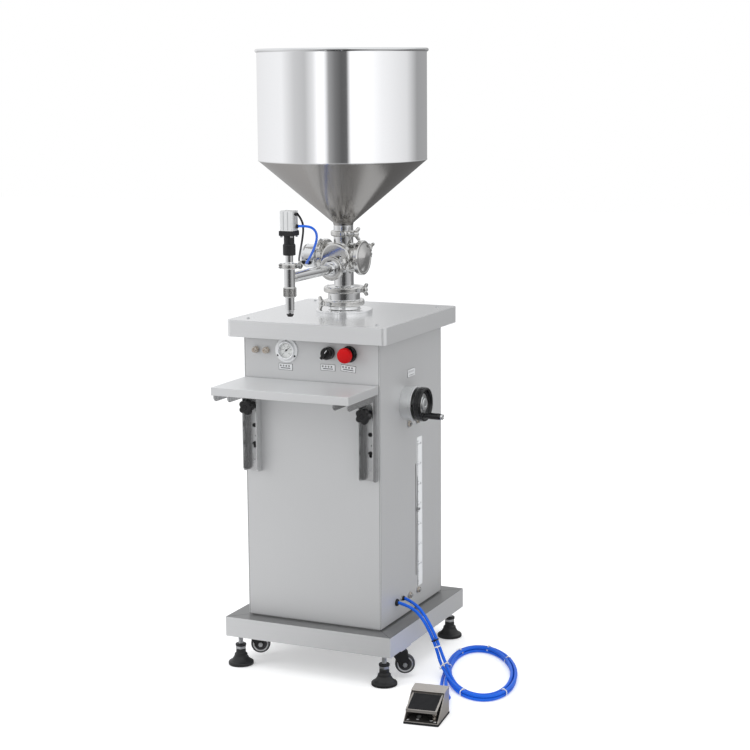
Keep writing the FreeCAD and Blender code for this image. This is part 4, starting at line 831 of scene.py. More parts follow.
class FILLER_OT_cabinet(bpy.types.Operator):
    """Make the cabinet, its rear panel, the table and the base ring"""

    bl_idname = "filler.cabinet"
    bl_label = "Cabinet and table"

    def execute(self, context):
        Maker().carried("cabinet_shell", "sheet upright", 0.9, 60).build("cabinet", "machine",
            "satin_steel", ("cabinet_shell",))
        Maker().carried("rear_panel", "sheet upright", 0.5).build("rear_cover", "machine",
            "satin_steel", ("rear_panel",))
        Maker().carried("table_top", "sheet across", 1.0, top="table sheet").build("table",
            "machine", "satin_steel", ("table_top",))
        # The base's upward faces take the sheet dark finish, a painted shade on the same steel as
        # the sides
        ring = Maker().carried("base_frame", "sheet darker", 1.6, 60, "sheet dark")
        low, high = span("base_frame")
        tube = 50
        for sx in (-1, 1):
            for sy in (-1, 1):
                corner = Vector((high.x if sx > 0 else low.x, high.y if sy > 0 else low.y, 0))
                inner = corner - Vector((sx * tube, sy * tube, 0))
                seam = (corner + inner) / 2
                turn = (Matrix.Translation((seam.x, seam.y, high.z))
                    @ Matrix.Rotation(math.atan2(sy * tube, sx * tube), 4, "Z"))
                ring.block((-33.5, -0.45, -0.3), (33.5, 0.45, 0.08), "seam", 0, turn)
        ring.build("base_ring", "machine", "satin_steel", ("base_frame",))

        lines = Maker()
        low, high = span("cabinet_shell")
        table_low = span("table_top")[0].z
        for x, y in ((high.x - 2.4, low.y - 0.06), (low.x + 2.4, low.y - 0.06)):
            lines.block((x - 0.35, y, low.z + 1), (x + 0.35, y + 0.2, table_low), "seam", 0)
        for y in (low.y + 3.0, high.y - 3.0):
            lines.block((high.x - 0.14, y - 0.3, low.z + 1), (high.x + 0.06, y + 0.3, table_low),
                "seam", 0)
            lines.block((low.x - 0.06, y - 0.3, low.z + 1), (low.x + 0.14, y + 0.3, table_low),
                "seam", 0)
        lines.build("cabinet_seams", "machine", "satin_steel")
        return {"FINISHED"}


class FILLER_OT_screws(bpy.types.Operator):
    """Make the screws and bolts"""

    bl_idname = "filler.screws"
    bl_label = "Screws"

    def execute(self, context):
        high = span("table_top")[1]
        rear = span("rear_panel")
        side = span("cabinet_shell")[1].x
        dome = Maker().lathe((0, 0, 0), Z, [(0, -3), (3.6, -3), (4.2, 0), (3.7, 1.5), (2.4, 2.4),
            (1.7, 2.5), (1.6, 1.2), (0, 1.2)], "zinc", 20, 0.3)
        places = [facing((sx * (high.x - 40), sy * (high.y - 40), high.z), Z) for sx in (-1, 1)
            for sy in (-1, 1)]
        for sx in (-1, 1):
            for share in (0, 1, 2):
                z = rear[0].z + 6 + share * (rear[1].z - rear[0].z - 12) / 2
                places.append(facing((sx * (rear[1].x - 5), rear[1].y, z), Y))
        scattered("dome_screws", dome, places, "zinc", "machine", ("screws",))
        bolts = Maker()
        for y in (-19, 34):
            for z in (173, 613):
                at = Vector((side, y, z))
                bolts.lathe(at, X, [(0, -1), (9.2, -1), (9.2, 1.3), (0, 1.3)], "zinc", 28, 0.3)
                bolts.extrude(polygon(6, 7.4, 0.3), at + X * 1.2, X, Z, 5.2, "tawny", 0.5)
                bolts.rod(at + X * 6, X, 4, 3.4, "zinc", 20, 0.6)
        front = span("cabinet_shell")[0].y
        for x in (-158, 158):
            for z in (615, 569):
                bolts.lathe((x, front + 1, z), -Y, [(0, 0), (5.4, 0), (5.4, 2.0), (3.6, 2.6),
                    (2.2, 1.2), (0, 1.2)], "black", 24, 0.3)
            bolts.rod((x + 2.5, front + 0.5, 588), -Y, 1.5, 0.9, "black", 14, 0.2)
        bolts.build("side_bolts", "machine", "polished_steel")
        return {"FINISHED"}


# Feet and casters ------------------------------------------------------------------------


class FILLER_OT_feet(bpy.types.Operator):
    """Make the levelling feet and the casters"""

    bl_idname = "filler.feet"
    bl_label = "Feet and casters"

    def feet(self):
        """Four feet, each a pad, a nut and a threaded stud."""
        maker = Maker()
        high = span("levelling_feet")[1]
        x, y = high.x - 32, high.y - 32
        pad = [(0, 0), (31, 0), (32, 1), (32, 6.5), (30.5, 8.2), (27, 9.6), (21.5, 14.5),
            (16.6, 22.5), (16.2, 27.5), (13.4, 29.2), (12.4, 31), (12.4, 38), (10, 41.2), (0, 41.2)]
        for sx in (-1, 1):
            for sy in (-1, 1):
                at = (sx * x, sy * y, 0)
                maker.lathe(at, Z, pad, "black", 56, 1.0)
                maker.extrude(polygon(6, 13.8, 0.4), (at[0], at[1], 41.2), Z, X, 6.4, "zinc", 0.6)
                maker.lathe((at[0], at[1], 47.6), Z, [(0, 0), (12.5, 0), (13.5, 0.8), (13.5, 5.6),
                    (12, 6.6), (0, 6.6)], "black", 40, 0.5)
                ridges = [(0, 54)]
                for i in range(12):
                    ridges += [(5.3, 54 + 1.75 * i), (6, 54.9 + 1.75 * i)]
                ridges += [(5.3, 75), (5.3, 104), (0, 104)]
                maker.lathe(at, Z, ridges, "zinc", 24, 0)
        maker.build("feet", "machine", "black_plastic", ("levelling_feet",))

    def kingpin(self, name):
        """Where a caster swivels, from its joint in the record."""
        for joint in frame["record"]["behaviour"]["joints"]:
            if joint["name"] == "swivel_" + name:
                return joint["pos_m"][0] / MM, joint["pos_m"][1] / MM, 0
        raise ValueError("no swivel joint for caster " + name)

    def caster(self, name):
        """One swivelling fork and its wheel."""
        fork_node, wheel_node = "caster_fork_" + name, "caster_wheel_" + name
        pivot = Vector(self.kingpin(name))
        turn = Matrix.Translation(pivot) @ Matrix.Rotation(math.radians(24.8), 4, "Z")
        maker = Maker()
        maker.lathe((0, 0, 66.5), Z, [(0, 0), (15, 0), (18.6, 1.6), (18.8, 5), (17, 6.8),
            (0, 6.8)], "zinc", 44, 0.6)
        maker.rod((0, 0, 72), Z, 5, 14, "zinc")
        for side in (-1, 1):
            outline = [(-12, 68), (-13, 62), (9, 27.5), (14, 24.5), (20, 23.4), (26, 24.6),
                (30.5, 28.5), (31.6, 34), (27, 62), (22, 68)]
            at = (0, side * 12.25 - 1.25, 0)
            maker.extrude([(-x, z) for x, z in outline], at, Y, Z, 2.5, "black", 0.7)
            out = Y * side
            face = Vector((20, side * 13.4, 33))
            maker.extrude(polygon(6, 6.2, 0.2), face, out, Z, 4, "zinc", 0.5)
            maker.rod(face + out * 4, out, 3, 1.6, "zinc", 18, 0.6)
        maker.block((-12, -13.4, 64.6), (24, 13.4, 68.4), "black", 1.0)
        maker.turned(turn)
        maker.build(fork_node + "_frame", "caster_" + name, "zinc_fittings", (fork_node,))

        maker = Maker()
        at = (20, 0, 33)
        tread = [(11, 7.4), (18, 7.4), (20.5, 8), (23, 7.4), (24.6, 5), (25, 0), (24.6, -5),
            (23, -7.4), (20.5, -8), (18, -7.4), (11, -7.4)]
        maker.lathe(at, Y, tread, "nylon", 64, 0.6, closed=True)
        for side in (-1, 1):
            rim = [(17.6, 6.6), (19.6, 8.2), (18.8, 9.2), (16.6, 8.6), (15.6, 7.0)]
            maker.lathe(at, Y * side, rim, "aluminium", 56, 0.4, closed=True)
        maker.lathe(at, Y, [(3.05, -10.2), (9, -10.2), (9, 10.2), (3.05, 10.2)], "black", 36, 0.6,
            closed=True)
        maker.lathe(at, Y, [(8, -3), (18, -3), (18, 3), (8, 3)], "black", 48, 0.6, closed=True)
        for i in range(5):
            spoke = Matrix.Translation(at) @ Matrix.Rotation(math.tau * i / 5, 4, "Y")
            maker.block((7, -6.2, -1.4), (17.4, 6.2, 1.4), "black", 0.8, spoke)
        maker.turned(turn)
        maker.build(wheel_node + "_tyre", "wheel_" + name, "caster_tyre", (wheel_node,))

    def execute(self, context):
        self.feet()
        for name in ("fl", "fr", "bl", "br"):
            self.caster(name)
        return {"FINISHED"}


# Shelf -----------------------------------------------------------------------------------


class FILLER_OT_shelf(bpy.types.Operator):
    """Make the shelf tray, its brackets and the two star knobs"""

    bl_idname = "filler.shelf"
    bl_label = "Shelf"

    def execute(self, context):
        Maker().carried("shelf_tray", "sheet across", 0.8).build("shelf_plate", "shelf",
            "satin_steel", ("shelf_tray",))
        Maker().carried("shelf_brackets", "bright sheet", 0.7, 50).build("shelf_arms", "shelf",
            "satin_steel", ("shelf_brackets",))
        for node, body in (("shelf_knob_l", "knob_left"), ("shelf_knob_r", "knob_right")):
            low, high = span(node)
            x, z = (low.x + high.x) / 2, KNOB_Z
            front = low.y

            def lobes(a, r):
                if r < 11:
                    return 1.0
                wave = 0.5 + 0.5 * math.cos(5 * (a - math.pi / 2))
                return 0.74 + 0.26 * wave ** 0.55

            maker = Maker()
            profile = [(0, 0.6), (7, 0.6), (8, 0), (16.5, 0), (19.2, 1.6), (20, 4.5), (20, 13),
                (19, 16.4), (16.5, 18), (9, 18.6), (9, 26), (0, 26)]
            maker.lathe((x, front, z), Y, profile, "black", 100, 1.2, lobes)
            maker.rod((x, front + 25, z), Y, 9, 19.2, "black", 30, 0.6)
            maker.rod((x, front + 44, z), Y, 4, 13, "zinc", 20, 0.4)
            maker.lathe((x, front - 0.2, z), Y, [(0, 0), (5.6, 0), (6.2, 0.9), (0, 0.9)],
                "black gloss", 32, 0.3)
            maker.build(node + "_star", body, "black_plastic", (node,))
        return {"FINISHED"}


# Front panel -----------------------------------------------------------------------------


def add_text(maker, words, height, at, right, up):
    """Adds flat printed digits, centred at a place, as a thin solid."""
    data = bpy.data.curves.new("digits", "FONT")
    data.body = words
    data.size = height
    data.extrude = 0.12
    data.align_x, data.align_y = "CENTER", "CENTER"
    holder = new_object("digits", data)
    mesh = evaluated_mesh(holder)
    bpy.data.objects.remove(holder)
    shape = bmesh.new()
    shape.from_mesh(mesh)
    bpy.data.meshes.remove(mesh)
    turn = Matrix.Translation(at) @ Matrix((right, up, right.cross(up))).transposed().to_4x4()
    bmesh.ops.transform(shape, matrix=turn, verts=shape.verts)
    bmesh.ops.remove_doubles(shape, verts=shape.verts, dist=0.001)
    maker.take(shape, "print", False)


class FILLER_OT_panel(bpy.types.Operator):
    """Make the gauge, the switches, the fittings and the plates of the front"""

    bl_idname = "filler.panel"
    bl_label = "Front panel"

    def gauge(self, front):
        """The gauge with its flange, printed dial, window and hand."""
        low, high = span("gauge_lens")
        x, z = (low.x + high.x) / 2, (low.z + high.z) / 2
        maker = Maker()
        flange = [(0, 0), (29.6, 0), (30.5, 0.8), (30.5, 2.8), (29, 3.6), (25, 3.9), (23.6, 5.4),
            (23, 8.2), (21.4, 9.2), (19.4, 9.0), (18.6, 7.6), (18.5, 2.2), (0, 2.2)]
        maker.lathe((x, front, z), -Y, flange, "plate", 96, 0.5)
        maker.rod((x, front + 34, z), -Y, 24, 34, "black", 56, 1.0)
        maker.lathe((x, front - 1.9, z), -Y, [(0, 0), (18.45, 0), (18.45, 0.5), (0, 0.5)], "dial",
            72, 0)
        face = front - 2.45
        for i in range(41):
            a = math.radians(225 - 270 * i / 40)
            inner, width = (13.6, 0.38) if i % 8 == 0 else (15.4, 0.2)
            out = Vector((math.cos(a), 0, math.sin(a)))
            centre = Vector((x, face, z)) + out * (inner + 17) / 2
            turn = Matrix.Translation(centre) @ Matrix.Rotation(-a, 4, "Y")
            half = (17 - inner) / 2
            maker.block((-half, -0.12, -width), (half, 0.02, width), "print", 0, turn)
        for i in range(6):
            a = math.radians(225 - 54 * i)
            at = Vector((x + 10.6 * math.cos(a), face, z + 10.6 * math.sin(a)))
            add_text(maker, str(2 * i), 4.0, at, X, Z)
        for i in range(40):
            a = math.radians(225 - 270 * (i + 0.5) / 40)
            out = Vector((math.cos(a), 0, math.sin(a)))
            turn = (Matrix.Translation(Vector((x, face, z)) + out * 7.4)
                @ Matrix.Rotation(-a, 4, "Y"))
            maker.block((-0.16, -0.1, -0.3), (0.16, 0.02, 0.3), "print", 0, turn)
        for degrees in (90, 210, 330):
            a = math.radians(degrees)
            at = (x + 26.4 * math.cos(a), front - 3.4, z + 26.4 * math.sin(a))
            maker.lathe(at, -Y, [(0, 0), (2.7, 0), (2.6, 0.9), (1.6, 1.5), (0, 1.6)], "black", 24,
                0.3)
        maker.build("gauge", "machine", "black_plastic", ("gauge_case",))

        glass = Maker()
        glass.lathe((x, front - 7.2, z), -Y, [(0, 0), (18.3, 0), (18.3, 1.0), (0, 1.6)], "window",
            64, 0.3)
        glass.build("gauge_window", "machine", "gauge_glass", ("gauge_lens",))

        hand = Maker()
        a = math.radians(-140)
        turn = Matrix.Translation((x, front - 3.1, z)) @ Matrix.Rotation(-a, 4, "Y")
        hand.extrude([(4.5, -0.8), (4.5, 0.8), (-13.8, 0.12), (-13.8, -0.12)], (0, 0, 0), -Y, Z,
            0.5, "print", 0.1)
        hand.turned(turn)
        hand.lathe((x, front - 2.9, z), -Y, [(0, 0), (2.3, 0), (2.1, 1.2), (0, 1.4)], "print", 24,
            0.2)
        hand.build("gauge_hand", "gauge_hand", "needle_red", ("gauge_needle",))

    def switches(self, front):
        """The selector and the stop button with their bodies."""
        low, high = span("stop_button")
        z = (low.z + high.z) / 2
        stop_x = (low.x + high.x) / 2
        turn_x = sum(corner.x for corner in span("selector_knob")) / 2
        maker = Maker()
        maker.lathe((stop_x, front, z), -Y, [(6.1, 0), (20, 0), (20.4, 1), (20, 3.2), (16.8, 4.2),
            (16.2, 6), (16, 9), (6.1, 9)], "black gloss", 64, 0.7, closed=True)
        maker.lathe((turn_x, front, z), -Y, [(6.1, 0), (15.2, 0), (15.6, 1), (15, 3.2),
            (13.6, 4.4), (6.1, 4.4)], "black gloss", 56, 0.5, closed=True)
        for x in (turn_x, stop_x):
            maker.pipe((x, front + 22, z), -Y, 11, 6.1, 23, "black", 36)
            maker.block((x - 14, front + 22, z - 14), (x + 14, front + 61, z + 14), "black", 1.5)
        maker.build("switch_bezels", "machine", "black_plastic", ("switch_bodies",))

        def fluted(a, r):
            return 1.0 if r < 13 else 1.0 - 0.03 * (0.5 + 0.5 * math.cos(26 * a))

        knob = Maker()
        knob.lathe((turn_x, front - 5, z), -Y, [(0, 0), (14.6, 0), (15.4, 1), (15.4, 11),
            (14.2, 15.4), (11.5, 17), (0, 17)], "black gloss", 104, 0.9, fluted)
        tilt = Matrix.Translation((turn_x, front - 14, z)) @ Matrix.Rotation(math.radians(38), 4,
            "Y")
        knob.block((-3.8, -17, -14.4), (3.8, 0, 14.4), "black gloss", 1.6, tilt)
        knob.block((-0.7, -17.2, 4), (0.7, -10, 13.2), "plate", 0.2, tilt)
        knob.rod((turn_x, front - 6, z), Y, 6, 22, "black")
        knob.build("selector_grip", "selector", "black_plastic", ("selector_knob",))

        head = Maker()
        head.lathe((stop_x, front - 21, z), -Y, [(0, 0), (16.4, 0), (18.4, 1.4), (19, 4),
            (18.8, 8.5), (17.4, 12), (14, 14.8), (8.5, 16.7), (0, 17.4)], "red", 80, 1.4)
        head.rod((stop_x, front - 21.6, z), Y, 6, 34.5, "black")
        head.lathe((stop_x, front - 20, z), Y, [(6, -1), (12.5, -1), (12.5, 3.6), (6, 3.6)],
            "black", 40, 0.5, closed=True)
        head.build("stop_mushroom", "stop", "stop_red", ("stop_button",))

    def fittings(self, front):
        """Air fittings of the front, side and back."""
        maker = Maker()
        for i in range(2):
            at = Vector((-149 + 29 * i, front, 805.5))
            maker.lathe(at, -Y, [(0, 0), (9.6, 0), (9.6, 1.2), (0, 1.2)], "zinc", 30, 0.3)
            maker.extrude(polygon(6, 9.0, 0.25), at - Y * 1.2, -Y, Z, 4.2, "tawny", 0.6)
            maker.lathe(at - Y * 5, -Y, [(0, 0), (6.9, 0), (7, 3), (6.2, 3.6), (6.2, 4.6),
                (7, 5.2), (6.8, 8), (4.4, 8.4), (4.0, 5.6), (0, 5.6)], "tawny", 32, 0.4)
            maker.rod(at + Y * 14, -Y, 5, 15, "zinc")
        side = span("cabinet_shell")[1].x
        maker.lathe((side - 3, *DROP_A[0][1:]), X, [(4.1, 0), (6.6, 0), (6.6, 3.0), (9.2, 3.2),
            (9.2, 5.4), (6.9, 8.6), (4.1, 8.8)], "rubber", 40, 0.7, closed=True)
        maker.extrude(polygon(6, 7.4, 0.1), (side, *DROP_B[0][1:]), X, Z, 4.0, "zinc", 0.6)
        maker.lathe((side + 4, *DROP_B[0][1:]), X, [(4.1, 0), (6, 0), (6, 3.4), (5.2, 5),
            (4.1, 5)], "black", 32, 0.5, closed=True)
        high = span("panel_fittings")[1]
        back = span("rear_panel")[1].y
        maker.extrude(polygon(6, 11, 0), (0, back, 200), Y, Z, 6, "zinc", 0.7)
        maker.pipe((0, back, 200), Y, 8, 4.05, high.y - back, "aluminium", 36, 0.8)
        maker.lathe((0, high.y - 2.5, 200), Y, [(4.05, 0), (9.5, 0), (9.5, 2), (4.05, 2.4)],
            "hose", 36, 0.4, closed=True)
        maker.build("fittings", "machine", "machined_aluminium", ("panel_fittings",))

    def plates(self, front):
        """Small printed plates under the controls; the print is plain bars."""
        maker = Maker()
        plates = (((-68.5, 767), 19, 8.2, -1), ((46.5, 772), 19.5, 8.0, 0),
            ((101, 772.5), 20, 8.2, -5))
        for (x, z), w, h, tilt in plates:
            turn = Matrix.Translation((x, front, z)) @ Matrix.Rotation(math.radians(-tilt), 4, "Y")
            maker.block((-w, -0.7, -h), (w, 0, h), "print", 0.2, turn)
            maker.block((-w + 0.8, -0.85, -h + 0.8), (w - 0.8, -0.1, h - 0.8), "plate", 0.1, turn)
            for i in range(4):
                start = -w + 4 + i * (2 * w - 8) / 4
                maker.block((start, -1.0, 0.3), (start + 3.6, -0.6, 4.2), "print", 0.1, turn)
                maker.block((start + 1.2, -1.05, 1.6), (start + 2.4, -0.6, 2.9), "plate", 0, turn)
            maker.block((-w + 6, -1.0, -4.0), (w - 6, -0.6, -2.2), "print", 0.1, turn)
        side = span("cabinet_shell")[1].x
        maker.block((side, -24, 729), (side + 0.7, 21, 749), "zinc", 0.2)
        maker.block((side + 0.1, -23, 730), (side + 0.9, 20, 748), "plate", 0.1)
        for i in range(5):
            maker.block((side + 0.4, -18 + 7 * i, 740), (side + 1.0, -15 + 7 * i, 745), "zinc", 0.1)
        maker.block((side + 0.4, -16, 733), (side + 1.0, 14, 735), "zinc", 0.1)
        maker.build("panel_plates", "machine", "machined_aluminium")

    def execute(self, context):
        front = span("cabinet_shell")[0].y
        self.gauge(front)
        self.switches(front)
        self.fittings(front)
        self.plates(front)
        return {"FINISHED"}


# Side adjustment -------------------------------------------------------------------------


class FILLER_OT_adjustment(bpy.types.Operator):
    """Make the handwheel, its collar, the crank and the stroke scale"""

    bl_idname = "filler.adjustment"
    bl_label = "Stroke adjustment"

    def execute(self, context):
        side = span("cabinet_shell")[1].x
        y, z = WHEEL_Y, WHEEL_Z
        at = Vector((side, y, z))
        maker = Maker()
        maker.lathe(at, X, [(10.1, 0), (41.4, 0), (41.5, 1), (41.5, 20.6), (41.0, 21.2),
            (41.0, 22), (43, 22.6), (43, 29), (41.5, 30), (30, 30), (29, 28.8), (16, 28.8),
            (10.1, 28.8)], "aluminium", 112, 0.5, closed=True)
        maker.pipe(at - X * 18, X, 20, 10.1, 19, "aluminium")
        for i in range(3):
            a = math.radians(60 + 120 * i)
            screw = at + X * 30 + Vector((0, 36 * math.cos(a), 36 * math.sin(a)))
            maker.lathe(screw, X, [(0, -0.5), (2.6, -0.5), (2.5, 0.5), (1.4, 0.6), (1.2, -0.2),
                (0, -0.2)], "black", 20, 0.2)
        maker.build("wheel_collar_ring", "machine", "machined_aluminium", ("wheel_collar",))

        wheel = Maker()
        rim_x = 219.0
        start = Vector((rim_x, y, z))

        def grips(a, r):
            return 1.0 - (0.012 * (0.5 + 0.5 * math.cos(30 * a)) if r > 41 else 0)

        wheel.lathe(start, X, [(12, 0), (38, 0), (41.6, 1.4), (42.5, 4), (42.5, 15), (41.6, 18.4),
            (38.6, 20), (35.6, 19), (34.2, 16), (33.2, 10), (31, 8.4), (12, 8.4)], "black gloss",
            120, 1.0, grips, closed=True)
        wheel.lathe(start, X, [(10, 7.5), (26, 7.5), (26.8, 8.6), (26.4, 9.8), (19, 10.2),
            (16.4, 12), (15.6, 15.2), (13.5, 16.4), (7, 16.8), (6, 14.2), (0, 14.2), (0, 7.5)],
            "aluminium", 72, 0.6)
        wheel.lathe(start, X, [(0, 14), (4.2, 14), (4.2, 17.2), (0, 17.6)], "zinc", 24, 0.4)
        wheel.rod(start - X * 6, X, 15, 8, "aluminium", 40, 0.8)
        wheel.rod((138, y, z), X, 10, 84, "zinc", 36, 0.5)
        wheel.lathe((129, y, z), X, [(0, 0), (8.4, 0), (17.4, 9), (0, 9)], "zinc", 40, 0.4)
        boss = start + Vector((4, -20, -24))
        wheel.pipe(boss, X, 7.4, 4.1, 15, "black gloss", 32, 0.8)
        wheel.build("handwheel_rim", "adjusting_wheel", "black_plastic", ("handwheel",))

        crank = Maker()
        grip = start + Vector((20.6, -20, -24))
        crank.lathe(grip, X, [(0, 0), (6.4, 0), (7.2, 1), (7.6, 8), (8, 24), (8, 40), (7.4, 45.4),
            (6.8, 46), (0, 46)], "black gloss", 48, 0.8)
        crank.lathe(grip, X, [(0, 45.6), (7.2, 45.6), (7.6, 46.6), (7.4, 49.6), (6.2, 51),
            (3.2, 51.2), (2.6, 50), (0, 50)], "polished", 40, 0.5)
        crank.rod(grip - X * 19, X, 4, 20, "zinc")
        crank.build("crank_grip", "crank", "black_plastic", ("crank_handle",))

        scale = Maker()
        low, high = span("scale_plate")
        scale.block(low, high, "plate", 0.2)
        face = high.x + 0.01
        top = high.z - 18
        pitch = 52.0
        for i in range(7):
            at = top - pitch * i
            scale.block((face - 0.1, low.y + 1, at - 0.5), (face + 0.12, low.y + 15, at + 0.5),
                "print", 0)
            add_text(scale, str(10 - i), 8.5, Vector((face, low.y + 22, at)), Y, Z)
        for i in range(75):
            at = top + 8 - i * 5.2
            if at < low.z + 3:
                break
            reach = 8 if i % 5 == 0 else 5
            scale.block((face - 0.1, low.y + 0.8, at - 0.8),
                (face + 0.12, low.y + reach, at + 0.8), "print", 0)
        scale.block((face - 0.1, low.y + 0.2, low.z + 1), (face + 0.14, low.y + 3.2, high.z - 100),
            "print", 0)
        scale.build("stroke_scale", "machine", "machined_aluminium", ("scale_plate",))

        Maker().carried("stroke_carriage", "zinc", 0.3).build("stroke_block", "carriage",
            "satin_steel", ("stroke_carriage",))
        return {"FINISHED"}


# Product path ----------------------------------------------------------------------------


class FILLER_OT_hopper(bpy.types.Operator):
    """Make the hopper with its rolled rim"""

    bl_idname = "filler.hopper"
    bl_label = "Hopper"

    def execute(self, context):
        rim, seam, cone, bottom = 1528.0, 1262.0, 1104.0, span("hopper")[0].z
        outer, neck, steps = 209.0, 24.5, 192
        maker = Maker()
        # The cone takes the darker finish, a painted shade on the same steel as the wall
        maker.lathe((0, 0, 0), Z, [(neck, cone - 4), (neck + 1.2, cone + 2),
            (outer - 2.2, seam - 2.6), (outer, seam + 0.2), (outer - 2, seam + 0.6),
            (outer - 4, seam - 1.6), (neck - 1.5, cone + 2)], "hopper cone shade and weld", steps, 0.8,
            closed=True)
        maker.lathe((0, 0, 0), Z, [(28, bottom), (28, bottom + 5), (neck, bottom + 6.4),
            (neck, cone - 4), (neck - 2.5, cone - 4), (neck - 2.5, bottom)], "polished", 96, 0.6,
            closed=True)
        maker.lathe((0, 0, 0), Z, [(outer, seam + 0.1), (outer, rim - 4), (outer - 2, rim - 4),
            (outer - 2, seam + 0.1)], "hopper wall", steps, 0.3, closed=True)
        maker.lathe((0, 0, 0), Z, [(outer - 0.4, seam - 1.6), (outer + 0.5, seam - 0.8),
            (outer + 0.5, seam + 0.8), (outer - 0.4, seam + 1.4)], "polished", steps, 0.3,
            closed=True)
        roll = [(outer + r, rim + h) for r, h in polygon(14, 4.5)]
        maker.lathe((0, 0, 0), Z, roll, "polished", steps, 0, closed=True)
        # The weld strip on the wall takes the cone's darker finish
        seam_weld = Matrix.Translation((0, outer, (seam + rim) / 2))
        maker.block((-1.2, -0.6, (seam - rim) / 2 + 3), (1.2, 0.25, (rim - seam) / 2 - 6),
            "hopper cone shade and weld", 0.2, seam_weld)
        maker.build("hopper_bowl", "machine", "polished_steel", ("hopper",), 24)
        return {"FINISHED"}


def wing_nut(maker, at, axis, up, length, reach, finish):
    """A hub with two flared wings on a threaded end."""
    axis = axis.normalized()
    maker.lathe(at, axis, [(0, 0), (7.2, 0), (8.2, 1.6), (7.2, length * 0.7), (5.4, length),
        (0, length)], finish, 28, 0.8)
    for side in (-1, 1):
        outline = [(0.0, 2.0), (0.0, length * 0.55), (3.4, length * 0.95),
            (reach * 0.62, length * 1.35), (reach * 0.85, length * 1.4), (reach, length * 1.18),
            (reach * 0.98, length * 0.82), (reach * 0.72, length * 0.55), (5.0, 2.0)]
        across = up * side
        thick = axis.cross(across).normalized()
        flip = -1 if thick.cross(axis).dot(across) > 0 else 1
        maker.extrude([(flip * x, h) for x, h in outline], Vector(at) - thick * 3.2, thick, axis,
            6.4, finish, 1.7)


def clamp(maker, at, axis, toward, inner, outer, height, wing_reach, nut_out=8.2, finish="cast"):
    """A two-part pipe clamp; its bolt is on the side toward, its nut nut_out along the bolt."""
    axis = axis.normalized()
    at = Vector(at)
    toward = (toward - axis * toward.dot(axis)).normalized()
    across = axis.cross(toward).normalized()
    half = height / 2
    profile = [(inner, -half + 2.2), (inner, -half + 0.4), (inner + 1.2, -half),
        (outer - 2.2, -half), (outer, -half + 2.6), (outer, half - 2.6), (outer - 2.2, half),
        (inner + 1.2, half), (inner, half - 0.4), (inner, half - 2.2)]
    maker.lathe(at, axis, profile, finish, 84, 0.6, closed=True)
    frame_turn = Matrix.Translation(at) @ Matrix((toward, across, axis)).transposed().to_4x4()
    lug = half - 1.6
    for side in (-1, 1):
        low_y = 1.2 if side > 0 else -7.6
        maker.block((outer - 3, low_y, -lug), (outer + 8, low_y + 6.4, lug), finish, 1.6,
                    frame_turn)
        maker.block((-outer - 6.5, -6.4, side * lug * 0.62 - 1.9),
            (-outer + 3, 6.4, side * lug * 0.62 + 1.9), finish, 1.4, frame_turn)
    maker.block((-outer - 5.6, -4.6, -1.8), (-outer + 3, 4.6, 1.8), finish, 1.2, frame_turn)
    pin = at - toward * (outer + 1.6) - axis * (lug + 1.4)
    maker.rod(pin, axis, 2.4, 2 * lug + 2.8, "zinc", 18, 0.6)
    bolt = at + toward * (outer + 4.2)
    maker.rod(bolt - across * 12, across, 2.8, 26 + nut_out, "zinc", 18, 0.5)
    maker.lathe(bolt - across * 13.5, across, [(0, 0), (4.4, 0.4), (5, 2.4), (4.6, 5.6), (0, 6)],
        "zinc", 24, 0.8)
    wing_nut(maker, bolt + across * nut_out, across, axis, 12.5, wing_reach, finish)


